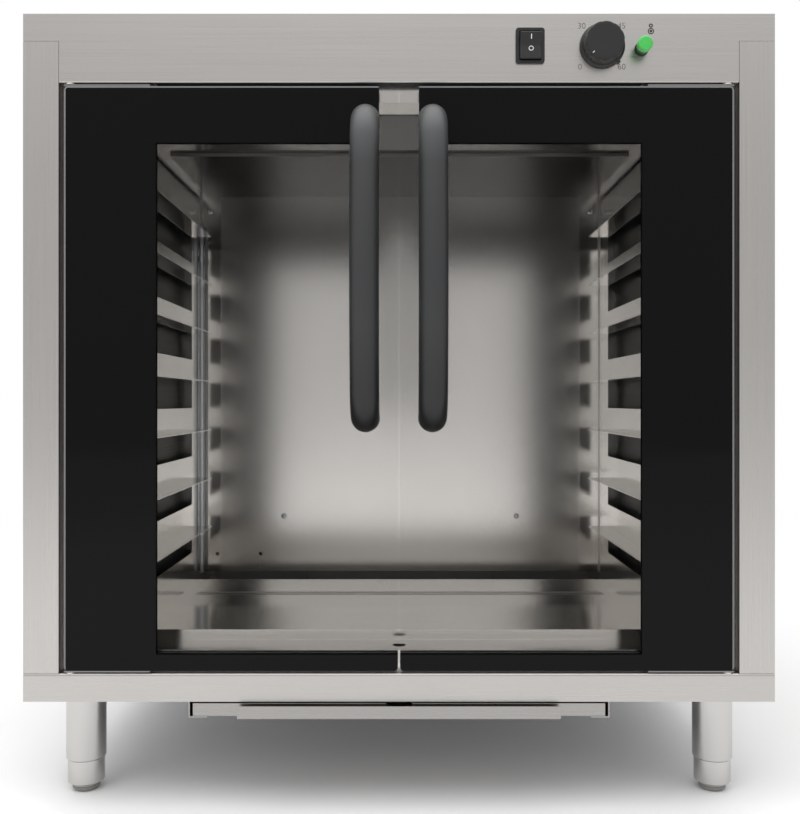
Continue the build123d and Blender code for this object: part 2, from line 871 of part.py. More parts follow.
# ---- controls ----
def switch_housing():
    x, z = switch_x, control_z
    bezel = block(x - bezel_width / 2, x + bezel_width / 2, -bezel_thickness, 0,
                  z - bezel_height / 2, z + bezel_height / 2)
    bezel = fillet(bezel.edges().filter_by(Axis.Y), bezel_corner)
    body = block(x - switch_body_width / 2, x + switch_body_width / 2, 0, switch_body_depth,
                 z - switch_body_height / 2, z + switch_body_height / 2)
    half_pocket = rocker_width / 2 + rocker_gap
    pocket_rise = rocker_height / 2 + rocker_play
    pocket = block(x - half_pocket, x + half_pocket, -bezel_thickness - 1, switch_body_depth / 2,
                   z - pocket_rise, z + pocket_rise)
    housing = bezel + body - pocket
    pin_reach = half_pocket + rocker_pin_length
    housing -= bar(x - pin_reach, x + pin_reach, rocker_pivot_depth, z,
                   rocker_pin_diameter + 2 * pin_fit)
    for number in range(3):
        pin_z = z + (number - 1) * switch_body_height / 4
        housing += block(x - 3, x + 3, switch_body_depth, switch_body_depth + 8, pin_z - 0.4, pin_z + 0.4)
    return housing


def switch_rocker():
    half = rocker_height / 2
    tail = rocker_pivot_depth
    outline = Polyline(
        (-rocker_horn, half), (-rocker_valley, 0), (-rocker_horn, -half),
        (0, -half), (tail, -half / 3), (tail, half / 3), (0, half), close=True)
    profile = Plane.YZ * make_face(outline)
    rocker = extrude(profile, rocker_width / 2, both=True)
    front_edges = rocker.edges().filter_by(Axis.X).sort_by(Axis.Y)[:2]
    rocker = fillet(front_edges, 1.0)
    pin = Rot(0, 90, 0) * Cylinder(rocker_pin_diameter / 2,
                                   rocker_width + 2 * (rocker_gap + rocker_pin_length * 0.8))
    pivot = Pos(switch_x, front_y + rocker_pivot_depth, control_z)
    return pivot * Rot(rocker_tilt, 0, 0) * (rocker + pin)


def thermostat_knob():
    rear = -knob_gap
    centre = Pos(knob_x, front_y, control_z)
    outline = Polyline(
        (0, -rear), (knob_diameter / 2, -rear), (knob_diameter / 2, knob_skirt),
        (knob_diameter / 2 - 1.5, knob_skirt + 0.6), (knob_front_diameter / 2 + 0.6, knob_height - 1.5),
        (knob_front_diameter / 2 - 1.0, knob_height), (0, knob_height), close=True)
    turned = revolve(Plane.XZ * make_face(outline), Axis.Z)
    hollow_radius = knob_front_diameter / 2 - knob_wall
    hollow = Pos(0, 0, (knob_height - knob_wall) / 2) * Cylinder(hollow_radius, knob_height - knob_wall)
    hub = Pos(0, 0, (knob_gap + knob_height - knob_wall / 2) / 2)
    hub = hub * Cylinder(shaft_diameter, knob_height - knob_wall / 2 - knob_gap)
    lug = Rot(0, 0, -45) * Pos(knob_diameter / 2, 0, (knob_skirt + knob_gap) / 2)
    lug = lug * Box(2 * knob_lug, 2 * knob_lug, knob_skirt - knob_gap)
    bore_height = shaft_length - shaft_entry
    bore = Pos(0, 0, bore_height / 2 - 1) * Cylinder(shaft_diameter / 2, bore_height)
    knob = turned - hollow + hub + lug - bore
    return centre * Rot(90, 0, 0) * knob


def thermostat_shaft():
    return rod(knob_x, control_z, shaft_entry - shaft_length + 2,
               shaft_entry - slide_fit, shaft_diameter)


def thermostat_body():
    x, z = knob_x, control_z
    body = block(x - thermostat_width / 2, x + thermostat_width / 2, sheet, sheet + thermostat_depth,
                 z - thermostat_height / 2, z + thermostat_height / 2)
    body = fillet(body.edges().filter_by(Axis.Y), 2)
    body -= rod(x, z, 0, shaft_entry, shaft_diameter + 2 * pin_fit)
    for side in (-1, 1):
        body += block(x + side * 12 - 3, x + side * 12 + 3, sheet + thermostat_depth,
                      sheet + thermostat_depth + 8, z - 0.4, z + 0.4)
    return body


def lamp_lens():
    x, z = lamp_x, control_z - lamp_drop
    length = lamp_reach - lamp_collar
    cone = Cone(lamp_root_diameter / 2, lamp_front_diameter / 2, length)
    lens = Pos(x, front_y - lamp_collar - length / 2, z) * Rot(90, 0, 0) * cone
    return fillet(lens.edges().sort_by(Axis.Y)[0], lamp_edge)


def lamp_holder():
    x, z = lamp_x, control_z - lamp_drop
    collar = rod(x, z, -lamp_collar, 0, lamp_collar_diameter)
    stem = rod(x, z, 0, lamp_stem_length, lamp_stem_diameter)
    nut = hexagon(x, z, sheet, sheet + lamp_nut_thickness, lamp_nut_width)
    return joined([collar, stem, nut])


# ---- temperature probe ----
def probe_guard():
    low = floor_z + guard_bottom
    high = ceiling_z - guard_top_drop
    guard = post(-guard_x, guard_depth, low, high, guard_diameter)
    outer = guard_diameter + 2 * guard_clip_wall
    wall_x = -chamber_half
    for z in (low + guard_clip_margin, high - guard_clip_margin):
        top = z + guard_clip_height
        guard += post(-guard_x, guard_depth, z, top, outer)
        guard += block(wall_x, wall_x + guard_clip_wall, guard_depth + guard_front_gap + 1,
                       guard_depth + guard_clip_tab, z, top)
        guard += block(wall_x + rack_clearance, wall_x + guard_clip_wall, guard_depth,
                       guard_depth + guard_front_gap + 2, z, top)
    bore = guard_diameter - 2 * guard_wall
    return guard - post(-guard_x, guard_depth, low + guard_wall, high + 1, bore)


def probe_bulb():
    low = floor_z + guard_bottom + guard_wall
    return post(-guard_x, guard_depth, low, low + bulb_length, bulb_diameter)


# ---- electrics at the rear ----
def cable_gland():
    x, z = gland_x, gland_z
    inner = body_depth - sheet
    thread = rod(x, z, inner - gland_lock_thickness - 2, body_depth, gland_thread)
    nut = hexagon(x, z, body_depth, body_depth + gland_nut_thickness, gland_nut_width)
    cap = rod(x, z, body_depth + gland_nut_thickness, body_depth + gland_reach, gland_cap_diameter)
    cap = fillet(cap.edges().sort_by(Axis.Y)[-1], 3)
    lock = hexagon(x, z, inner - gland_lock_thickness, inner, gland_nut_width)
    gland = joined([thread, nut, cap, lock])
    return gland - rod(x, z, inner - 20, body_depth + gland_reach + 1, gland_bore)


def earth_stud():
    x, z = stud_x, body_bottom + stud_height
    stud = rod(x, z, body_depth - stud_inner, body_depth + stud_reach, stud_diameter)
    outer_nut = hexagon(x, z, body_depth, body_depth + stud_nut_thickness, stud_nut_width)
    inner_face = body_depth - sheet
    inner_nut = hexagon(x, z, inner_face - stud_nut_thickness, inner_face, stud_nut_width)
    return joined([stud, outer_nut, inner_nut])


def terminal_block():
    inner = body_depth - sheet
    x, z = terminal_x, gland_z
    body = block(x - terminal_width / 2, x + terminal_width / 2, inner - terminal_depth, inner,
                 z - terminal_height / 2, z + terminal_height / 2)
    pitch = terminal_width / terminal_ways
    for number in range(terminal_ways):
        slot_x = x + (number - (terminal_ways - 1) / 2) * pitch
        body -= block(slot_x - terminal_slot / 2, slot_x + terminal_slot / 2, inner - terminal_depth - 1,
                      inner - terminal_depth / 2, z - terminal_height / 4, z + terminal_height / 4)
    return body


# ---- drip tray ----
def right_tray_runner():
    t = tray_runner_sheet
    front = drip_tray_setback
    back = front + tray_runner_length
    leg = block(runner_x, runner_x + t, front, back, runner_bottom, body_bottom)
    leg += block(runner_x, runner_x + t, plinth_fold + panel_joint, back, runner_bottom, base_z)
    flange = block(runner_x, runner_x + tray_runner_flange, plinth_fold + panel_joint, back,
                   base_z - t, base_z)
    lip = block(runner_x + t - tray_runner_lip, runner_x + t, front, back, runner_bottom,
                runner_bottom + t)
    return joined([leg, flange, lip])


def drip_tray():
    t = drip_tray_sheet
    front = drip_tray_setback
    back = front + drip_tray_depth
    top = tray_bottom + drip_tray_height
    tray = centred(tray_half, front, back, tray_bottom, top)
    tray -= centred(tray_half - t, front + t, back - t, tray_bottom + t, top + 1)
    tray -= centred(tray_notch_width / 2, front - 1, front + 2 * t, top - tray_notch_depth, top + 1)
    half = grip_width / 2
    tray += centred(half, front - grip_reach, front + t, tray_bottom, tray_bottom + t)
    tray += centred(half, front - grip_reach, front - grip_reach + t, tray_bottom,
                    tray_bottom + grip_height)
    return tray


def drain_spout():
    low = tray_bottom + drip_tray_sheet + spout_bottom_gap
    stem = post(0, spout_depth, low, sill_z - frame_sheet, spout_stem_diameter)
    flare = post(0, spout_depth, low, base_z, spout_diameter)
    bore = post(0, spout_depth, low - 1, sill_z, spout_bore)
    return stem + flare - bore


# ---- feet ----
def foot_places():
    return [
        ("front_left_foot", -foot_x, foot_front_depth),
        ("front_right_foot", foot_x, foot_front_depth),
        ("rear_left_foot", -foot_x, foot_rear_depth),
        ("rear_right_foot", foot_x, foot_rear_depth),
    ]


def foot_sleeves():
    sleeves = []
    half = foot_plate / 2
    inner = sleeve_diameter - 2 * sleeve_wall
    for name, x, depth in foot_places():
        plate = block(x - half, x + half, depth - half, depth + half, foot_plate_bottom, base_z)
        tube = post(x, depth, sleeve_bottom, foot_plate_bottom, sleeve_diameter)
        tube -= post(x, depth, sleeve_bottom + sleeve_plug, foot_plate_bottom, inner)
        tube -= post(x, depth, 0, foot_plate_bottom, foot_stem_diameter + 2 * pin_fit)
        sleeves.append(plate + tube)
    return group(sleeves)


def adjustable_foot(x, depth):
    body = post(x, depth, foot_pad_height, sleeve_bottom, foot_diameter)
    body = chamfer(body.edges().group_by(Axis.Z)[0], foot_edge)
    stem = post(x, depth, sleeve_bottom, sleeve_bottom + foot_stem_rise, foot_stem_diameter)
    pad = post(x, depth, 0, foot_pad_height, foot_pad_diameter)
    pad = fillet(pad.edges().group_by(Axis.Z)[0], foot_edge)
    return joined([body, stem, pad])


# ---- write one file for each piece ----
right_and_left = {
    "side_panel": right_side_panel,
    "liner_wall": right_liner_wall,
    "tray_rack": right_tray_rack,
    "tray_runner": right_tray_runner,
    "door_glass": right_door_glass,
    "door_seal": right_door_seal,
    "top_hinge_shoe": right_top_hinge_shoe,
    "bottom_hinge_shoe": right_bottom_hinge_shoe,
    "door_handle": right_door_handle,
    "handle_screws": right_handle_screws,
}

single_pieces = [
    top_panel, control_panel, rear_panel, bottom_front_panel, base_pan, panel_screws,
    front_frame, chamber_ceiling, ceiling_plate, chamber_back_wall, air_duct_panel, chamber_floor,
    liner_screws, tray_ledges, rack_uprights, heater_well, heating_element, heater_brackets,
    insulation_slabs, hinge_bushes, hinge_brackets, switch_housing, switch_rocker,
    thermostat_knob, thermostat_shaft, thermostat_body, lamp_lens, lamp_holder, probe_guard,
    probe_bulb, cable_gland, earth_stud, terminal_block, drip_tray, drain_spout, foot_sleeves,
]

os.makedirs("parts", exist_ok=True)
for name, make in right_and_left.items():
    shape = make()
    export_step(shape, f"parts/right_{name}.step")
    export_step(group([left_of(shape)]), f"parts/left_{name}.step")
for make in single_pieces:
    export_step(make(), f"parts/{make.__name__}.step")
for name, x, depth in foot_places():
    export_step(adjustable_foot(x, depth), f"parts/{name}.step")
print(len(os.listdir("parts")), "parts written")
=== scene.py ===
import json
import math

import bmesh
import bpy
from mathutils import Matrix, Vector

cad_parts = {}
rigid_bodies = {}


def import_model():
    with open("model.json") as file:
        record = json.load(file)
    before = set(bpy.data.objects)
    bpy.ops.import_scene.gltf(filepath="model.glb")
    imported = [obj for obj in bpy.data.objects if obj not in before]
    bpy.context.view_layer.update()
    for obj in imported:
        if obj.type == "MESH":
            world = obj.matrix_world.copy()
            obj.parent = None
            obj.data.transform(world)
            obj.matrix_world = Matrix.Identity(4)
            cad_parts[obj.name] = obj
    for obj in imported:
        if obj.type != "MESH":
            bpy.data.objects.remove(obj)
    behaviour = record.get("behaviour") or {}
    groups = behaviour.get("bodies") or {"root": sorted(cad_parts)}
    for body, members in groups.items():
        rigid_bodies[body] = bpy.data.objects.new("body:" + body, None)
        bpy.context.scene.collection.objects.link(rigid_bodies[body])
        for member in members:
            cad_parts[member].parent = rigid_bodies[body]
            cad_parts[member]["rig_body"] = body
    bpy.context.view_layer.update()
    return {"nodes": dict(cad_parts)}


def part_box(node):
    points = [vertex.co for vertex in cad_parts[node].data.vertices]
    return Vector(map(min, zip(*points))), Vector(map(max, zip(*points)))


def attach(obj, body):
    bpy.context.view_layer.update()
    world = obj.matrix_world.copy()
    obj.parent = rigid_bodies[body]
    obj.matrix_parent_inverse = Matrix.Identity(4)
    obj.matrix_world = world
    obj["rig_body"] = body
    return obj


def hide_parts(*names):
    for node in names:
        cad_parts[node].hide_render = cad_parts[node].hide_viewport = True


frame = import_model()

nodes = frame["nodes"]
mm = 0.001
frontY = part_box("bottom_front_panel")[0].y  # plane of the front panels
print("frame loaded:", len(nodes), "nodes")


# shader helpers
def newMaterial(name, colour, metallic, roughness, specular=0.5):
    made = bpy.data.materials.new(name)
    made.use_nodes = True
    tree, shader = partsOf(made)
    shader.inputs["Base Color"].default_value = (*colour, 1)
    shader.inputs["Metallic"].default_value = metallic
    shader.inputs["Roughness"].default_value = roughness
    shader.inputs["Specular IOR Level"].default_value = specular
    return made, tree, shader


def partsOf(material):
    return material.node_tree, material.node_tree.nodes["Principled BSDF"]


def addNode(tree, kind, **settings):
    node = tree.nodes.new(kind)
    for key, value in settings.items():
        setattr(node, key, value)
    return node


def colourSockets(sockets):
    return [socket for socket in sockets if socket.type == "RGBA"]


def objectPoint(tree, scale):
    coords = addNode(tree, "ShaderNodeTexCoord")
    mapping = addNode(tree, "ShaderNodeMapping")
    mapping.inputs["Scale"].default_value = scale
    tree.links.new(coords.outputs["Object"], mapping.inputs["Vector"])
    return mapping.outputs["Vector"]


def objectAxis(tree, axis):
    coords = addNode(tree, "ShaderNodeTexCoord")
    parts = addNode(tree, "ShaderNodeSeparateXYZ")
    tree.links.new(coords.outputs["Object"], parts.inputs[0])
    return parts.outputs[axis]


def sideDistance(tree):
    # distance from the middle plane of the cabinet, in metres
    return mathNode(tree, "ABSOLUTE", objectAxis(tree, "X"))


def noise(tree, scale, stretch=(1, 1, 1), detail=4.0, rough=0.55):
    made = addNode(tree, "ShaderNodeTexNoise")
    made.inputs["Scale"].default_value = scale
    made.inputs["Detail"].default_value = detail
    made.inputs["Roughness"].default_value = rough
    tree.links.new(objectPoint(tree, stretch), made.inputs["Vector"])
    return made.outputs["Fac"]


def spread(tree, source, low, high, fromLow=0.3, fromHigh=0.7):
    made = addNode(tree, "ShaderNodeMapRange")
    made.inputs["From Min"].default_value = fromLow
    made.inputs["From Max"].default_value = fromHigh
    made.inputs["To Min"].default_value = low
    made.inputs["To Max"].default_value = high
    tree.links.new(source, made.inputs["Value"])
    return made.outputs["Result"]


def mathNode(tree, operation, first, second=None):
    made = addNode(tree, "ShaderNodeMath", operation=operation)
    for number, value in enumerate((first, second)):
        if value is None:
            continue
        if isinstance(value, (int, float)):
            made.inputs[number].default_value = value
        else:
            tree.links.new(value, made.inputs[number])
    return made.outputs[0]


def blendColours(tree, factor, first, second):
    # a colour is a tuple or another node's output
    made = addNode(tree, "ShaderNodeMix", data_type="RGBA")
    tree.links.new(factor, made.inputs["Factor"])
    for socket, colour in zip(colourSockets(made.inputs), (first, second)):
        if isinstance(colour, tuple):
            socket.default_value = (*colour, 1)
        else:
            tree.links.new(colour, socket)
    return colourSockets(made.outputs)[0]


def addBump(tree, shader, height, strength, distance):
    made = addNode(tree, "ShaderNodeBump")
    made.inputs["Strength"].default_value = strength
    made.inputs["Distance"].default_value = distance
    tree.links.new(height, made.inputs["Height"])
    tree.links.new(made.outputs["Normal"], shader.inputs["Normal"])


def shade(colour, factor):
    return tuple(min(1.0, c * factor) for c in colour)


def brushedSteel(name, colour, roughness, grain, contrast=0.012, bump=0.03, cloud=0.01):
    # grain holds the stretch of the brushing: small along the strokes, large across them
    made, tree, shader = newMaterial(name, colour, 1.0, roughness)
    strokes = noise(tree, 1.0, grain, 3.0, 0.7)
    clouds = noise(tree, 7.0, (1, 1, 1), 2.0, 0.5)
    both = mathNode(tree, "ADD", spread(tree, strokes, 0, contrast), spread(tree, clouds, 0, cloud))
    share = mathNode(tree, "DIVIDE", both, contrast + cloud)
    dark, light = shade(colour, 1 - contrast - cloud), shade(colour, 1 + contrast + cloud)
    tree.links.new(blendColours(tree, share, dark, light), shader.inputs["Base Color"])
    tree.links.new(spread(tree, strokes, roughness * 0.85, roughness * 1.15), shader.inputs["Roughness"])
    addBump(tree, shader, strokes, bump, 0.00006)
    return made


def paintShadeAtGrazing(material, tint):
    # painted shade: a grey specular tint keeps the metal dark when it is seen at a shallow angle
    shader = partsOf(material)[1]
    shader.inputs["Specular Tint"].default_value = (tint, tint, tint, 1)


def mouldedPlastic(name, colour, roughness, grainSize=1500, bump=0.15, specular=0.5):
    made, tree, shader = newMaterial(name, colour, 0.0, roughness, specular)
    grain = noise(tree, grainSize, (1, 1, 1), 3.0, 0.6)
    clouds = noise(tree, 30.0, (1, 1, 1), 2.0, 0.5)
    tint = blendColours(tree, clouds, shade(colour, 0.9), shade(colour, 1.12))
    tree.links.new(tint, shader.inputs["Base Color"])
    tree.links.new(spread(tree, grain, roughness * 0.9, roughness * 1.12), shader.inputs["Roughness"])
    addBump(tree, shader, grain, bump, 0.0001)
    return made


def swirled(name, colour, roughness, size, dark, light, bump, depth):
    # a clear coloured plastic with a faint swirl in it
    made, tree, shader = newMaterial(name, colour, 0.0, roughness)
    swirl = noise(tree, size)
    tree.links.new(blendColours(tree, swirl, dark, light), shader.inputs["Base Color"])
    addBump(tree, shader, swirl, bump, depth)
    return made


# steels: colours, then strokes per metre along and across the brushing
steel = {
    "outer": (0.575, 0.555, 0.535),
    "inner": (0.72, 0.695, 0.665),
    "rack": (0.74, 0.72, 0.69),
    "foot": (0.63, 0.615, 0.6),
    "tray": (0.42, 0.405, 0.39),
    "tube": (0.62, 0.645, 0.69),
    "zinc": (0.62, 0.63, 0.65),
    "element": (0.2, 0.17, 0.14),
    "brass": (0.72, 0.53, 0.22),
    "along": 4,
    "across": 900,
}
across = (steel["along"], steel["across"], steel["across"])
upright = (steel["across"], steel["across"], steel["along"])
deep = (steel["across"], steel["along"], steel["across"])
calm = (0.01, 0.02, 0.01)  # contrast, bump and cloud of the bright liner sheet
inner = steel["inner"]
outerAcross = brushedSteel("outerSteelAcross", steel["outer"], 0.3, across)
outerUpright = brushedSteel("outerSteelUpright", steel["outer"], 0.3, upright)
outerDeep = brushedSteel("outerSteelDeep", steel["outer"], 0.3, deep)
innerAcross = brushedSteel("innerSteelAcross", inner, 0.16, across, *calm)
# painted shade: both ceiling sheets are a darkened copy of the liner steel
ceilingSteel = brushedSteel("ceilingSteel", shade(inner, 0.135), 0.16, deep, *calm)
ceilingFront = brushedSteel("ceilingFront", shade(inner, 0.135), 0.16, deep, *calm)
edgeSteel = brushedSteel("edgeSteel", shade(inner, 0.5), 0.5, across, 0.03, 0.05, 0.03)
wellSteel = brushedSteel("wellSteel", shade(inner, 1.1), 0.5, across, 0.04, 0.05, 0.04)
rackSteel = brushedSteel("rackSteel", steel["rack"], 0.15, deep, *calm)
tubeSteel = brushedSteel("tubeSteel", steel["tube"], 0.3, upright, 0.02, 0.05, 0.02)
footSteel = brushedSteel("footSteel", steel["foot"], 0.2, upright, 0.02, 0.06, 0.02)
traySteel = brushedSteel("traySteel", steel["tray"], 0.28, across, 0.04, 0.1, 0.02)
hingeSteel = brushedSteel("hingeSteel", shade(steel["outer"], 0.45), 0.35, across)
baseSteel = brushedSteel("baseSteel", shade(steel["zinc"], 0.8), 0.45, (40, 40, 40), 0.08, 0.1, 0.08)
screwZinc = brushedSteel("screwZinc", steel["zinc"], 0.25, (2500, 2500, 2500), 0.04, 0.1, 0.02)
studBrass = brushedSteel("studBrass", steel["brass"], 0.28, (1500, 1500, 1500), 0.05, 0.1, 0.04)
elementSteel = brushedSteel("elementSteel", steel["element"], 0.4, (60, 900, 900), 0.15, 0.2, 0.2)
# painted shade at a shallow angle, stronger on the ceiling plate than on the ceiling front
paintShadeAtGrazing(ceilingSteel, 0.54)
paintShadeAtGrazing(ceilingFront, 0.8)

# plastics, rubbers and prints
controlPlastic = mouldedPlastic("controlPlastic", (0.009, 0.009, 0.0095), 0.42, 2200, 0.12)
knobPlastic = mouldedPlastic("knobPlastic", (0.01, 0.01, 0.0098), 0.38, 2200, 0.12)
bakelite = mouldedPlastic("bakelite", (0.3, 0.25, 0.18), 0.45)
nylonWhite = mouldedPlastic("nylonWhite", (0.7, 0.69, 0.64), 0.4)
sealRubber = mouldedPlastic("sealRubber", (0.018, 0.018, 0.019), 0.6, 900, 0.25, 0.35)
footPad = mouldedPlastic("footPad", (0.26, 0.257, 0.245), 0.5, 900, 0.2, 0.4)
markWhite = mouldedPlastic("markWhite", (0.75, 0.75, 0.74), 0.45)
markGrey = mouldedPlastic("markGrey", (0.1, 0.088, 0.078), 0.5)
markDark = mouldedPlastic("markDark", (0.02, 0.018, 0.018), 0.5)
lampSide = swirled("lampSide", (0.01, 0.09, 0.02), 0.18, 700.0, (0.006, 0.05, 0.012), (0.02, 0.16, 0.035),
                   0.2, 0.0002)
lampGreen = swirled("lampGreen", (0.06, 0.55, 0.09), 0.25, 260.0, (0.05, 0.42, 0.07), (0.08, 0.52, 0.11),
                    0.05, 0.0001)
lampShader = partsOf(lampGreen)[1]
lampShader.inputs["Emission Color"].default_value = (0.07, 0.6, 0.1, 1)
lampShader.inputs["Emission Strength"].default_value = 0.04

# finishes that change over a piece, three of them by painted shade or light; places are distances from the
# middle plane or heights, in metres
frameLook = {"full": 0.85, "paintedDoorShade": 0.3, "from": 0.335, "to": 0.345}
recessLook = {"bright": 0.95, "dark": 0.2, "tint": 0.6, "from": 0.3035, "to": 0.306}
ductLook = {"satin": 0.23, "polished": 0.15, "from": 0.2715, "to": 0.2725}
# painted light and shade: the handle bar is drawn darker towards its low end and paler towards its top bend
handleLook = {
    "colour": (0.03, 0.031, 0.032),
    "paintedShadeLevel": 0.2,
    "paintedLightLevel": 2.1,
    "lowEnd": (0.405, 0.5),  # the bar darkens below this stretch
    "topBend": (0.665, 0.7),  # and grows paler above this one
    "topWeight": 1.4,
}


def makeFrameSteel():
    # painted shade: the frame is darkened where the outer edges of the doors shade it
    full, paintedDoorShade = shade(inner, frameLook["full"]), shade(inner, frameLook["paintedDoorShade"])
    made = brushedSteel("frameSteel", full, 0.2, across, *calm)
    tree, shader = partsOf(made)
    outwards = spread(tree, sideDistance(tree), 0, 1, frameLook["from"], frameLook["to"])
    tree.links.new(blendColours(tree, outwards, full, paintedDoorShade), shader.inputs["Base Color"])
    return made


def makeRecessSteel():
    # painted shade: the walls are darkened, with a grey tint on their reflections, in the recess behind the
    # racks, and bright where they stand forward
    bright, dark = shade(inner, recessLook["bright"]), shade(inner, recessLook["dark"])
    made = brushedSteel("recessSteel", dark, 0.45, deep, *calm)
    tree, shader = partsOf(made)
    outwards = spread(tree, sideDistance(tree), 0, 1, recessLook["from"], recessLook["to"])
    tree.links.new(blendColours(tree, outwards, bright, dark), shader.inputs["Base Color"])
    recessShadeTint = blendColours(tree, outwards, (1, 1, 1), (recessLook["tint"],) * 3)
    tree.links.new(recessShadeTint, shader.inputs["Specular Tint"])
    return made


def makeDuctSteel():
    # the folded side strips are polished, the sheet between them is satin
    made = brushedSteel("ductSteel", shade(inner, 1.05), ductLook["satin"], across, *calm)
    tree, shader = partsOf(made)
    strip = spread(tree, sideDistance(tree), ductLook["satin"], ductLook["polished"], ductLook["from"],
                   ductLook["to"])
    tree.links.new(strip, shader.inputs["Roughness"])
    return made


def makeHandlePlastic():
    # painted light and shade: the colour runs from dark at the low end to pale at the top bend
    colour = handleLook["colour"]
    made = mouldedPlastic("handlePlastic", colour, 0.42, 1800, 0.1)
    tree, shader = partsOf(made)
    height = objectAxis(tree, "Z")
    low = spread(tree, height, 0, 1, *handleLook["lowEnd"])
    high = spread(tree, height, 0, 1, *handleLook["topBend"])
    high = mathNode(tree, "MULTIPLY", high, handleLook["topWeight"])
    share = mathNode(tree, "DIVIDE", mathNode(tree, "ADD", low, high), 1 + handleLook["topWeight"])
    dark, pale = shade(colour, handleLook["paintedShadeLevel"]), shade(colour, handleLook["paintedLightLevel"])
    tree.links.new(blendColours(tree, share, dark, pale), shader.inputs["Base Color"])
    return made


def makeWool():
    made, tree, shader = newMaterial("woolFelt", (0.5, 0.42, 0.22), 0.0, 0.95)
    fibre = noise(tree, 400.0, (1, 1, 6), 6.0, 0.7)
    tint = blendColours(tree, fibre, (0.34, 0.27, 0.12), (0.62, 0.54, 0.3))
    tree.links.new(tint, shader.inputs["Base Color"])
    addBump(tree, shader, fibre, 0.8, 0.002)
    return made


doorPrint = {
    "windowSide": 0.2534,  # half width of the clear window
    "windowTop": 0.6952,
    "windowBottom": 0.1616,
    "gapSide": 0.0209,  # half width of the clear strip between the top prints
    "black": (0.0035, 0.0035, 0.0036),
    "tint": (0.02, 0.022, 0.022),
    "clearAlpha": 0.02,
    "edgeSide": 0.3492,  # outer and upper ends of the glass, which keep a clear rim
    "edgeTop": 0.7542,
    "edgeCorner": 0.004,
    "rim": 0.0015,
    # painted light: the clear rim is drawn in flat grey, standing for the light on the ground edge of the
    # glass
    "rimPaintedLight": (0.2, 0.207, 0.207),
    "smear": (0.045, 0.085),
}


def makeDoorGlass():
    made, tree, shader = newMaterial("doorGlass", doorPrint["black"], 0.0, 0.06, 0.12)
    side, high = sideDistance(tree), objectAxis(tree, "Z")
    aboveSill = mathNode(tree, "GREATER_THAN", high, doorPrint["windowBottom"])
    belowTop = mathNode(tree, "LESS_THAN", high, doorPrint["windowTop"])
    inside = mathNode(tree, "LESS_THAN", side, doorPrint["windowSide"])
    between = mathNode(tree, "LESS_THAN", side, doorPrint["gapSide"])
    window = mathNode(tree, "MULTIPLY", belowTop, inside)
    clear = mathNode(tree, "MULTIPLY", mathNode(tree, "MAXIMUM", window, between), aboveSill)
    squares = []
    for spot, edge in ((side, "edgeSide"), (high, "edgeTop")):
        reach = mathNode(tree, "SUBTRACT", spot, doorPrint[edge] - doorPrint["edgeCorner"])
        squares.append(mathNode(tree, "POWER", mathNode(tree, "MAXIMUM", reach, 0.0), 2.0))
    away = mathNode(tree, "SQRT", mathNode(tree, "ADD", *squares))
    rim = mathNode(tree, "GREATER_THAN", away, doorPrint["edgeCorner"] - doorPrint["rim"])
    tint = blendColours(tree, clear, doorPrint["black"], doorPrint["tint"])
    tree.links.new(blendColours(tree, rim, tint, doorPrint["rimPaintedLight"]), shader.inputs["Base Color"])
    tree.links.new(spread(tree, clear, 1.0, doorPrint["clearAlpha"], 0.0, 1.0), shader.inputs["Alpha"])
    smear = noise(tree, 9.0, (1, 1, 2), 3.0, 0.5)
    tree.links.new(spread(tree, smear, *doorPrint["smear"]), shader.inputs["Roughness"])
    return made


frameSteel = makeFrameSteel()
recessSteel = makeRecessSteel()
ductSteel = makeDuctSteel()
handlePlastic = makeHandlePlastic()
woolFelt = makeWool()
doorGlass = makeDoorGlass()
print("finishes made")

# which finish each carried-over node wears
finishes = [
    (outerAcross, ["control_panel", "bottom_front_panel", "rear_panel"]),
    (outerUpright, ["left_side_panel", "right_side_panel"]),
    (outerDeep, ["top_panel"]),
    (innerAcross, ["chamber_floor"]),
    (wellSteel, ["heater_well", "chamber_back_wall"]),
    (frameSteel, ["front_frame"]),
    (ceilingFront, ["chamber_ceiling"]),
    (ceilingSteel, ["ceiling_plate"]),
    (ductSteel, ["air_duct_panel"]),
    (recessSteel, ["left_liner_wall", "right_liner_wall"]),
    (rackSteel, ["left_tray_rack", "right_tray_rack", "tray_ledges", "rack_uprights",
                 "heater_brackets"]),
    (tubeSteel, ["probe_guard", "probe_bulb", "thermostat_shaft"]),
    (elementSteel, ["heating_element"]),
    (woolFelt, ["insulation_slabs"]),
    (doorGlass, ["left_door_glass", "right_door_glass"]),
    (sealRubber, ["left_door_seal", "right_door_seal", "drain_spout"]),
    (hingeSteel, ["left_top_hinge_shoe", "right_top_hinge_shoe", "left_bottom_hinge_shoe",
                  "right_bottom_hinge_shoe"]),
    (nylonWhite, ["hinge_bushes"]),
    (handlePlastic, ["left_door_handle", "right_door_handle"]),
    (controlPlastic, ["switch_housing", "switch_rocker", "lamp_holder", "cable_gland"]),
    (knobPlastic, ["thermostat_knob"]),
    (lampGreen, ["lamp_lens"]),
    (bakelite, ["thermostat_body", "terminal_block"]),
    (screwZinc, ["panel_screws", "liner_screws", "left_handle_screws", "right_handle_screws"]),
    (studBrass, ["earth_stud"]),
    (traySteel, ["drip_tray", "left_tray_runner", "right_tray_runner"]),
    (baseSteel, ["base_pan", "hinge_brackets"]),
    (footSteel, ["foot_sleeves", "front_left_foot", "front_right_foot", "rear_left_foot",
                 "rear_right_foot"]),
]
for finish, names in finishes:
    for name in names:
        nodes[name].data.materials.clear()
        nodes[name].data.materials.append(finish)
print("nodes dressed:", sum(len(names) for _, names in finishes))


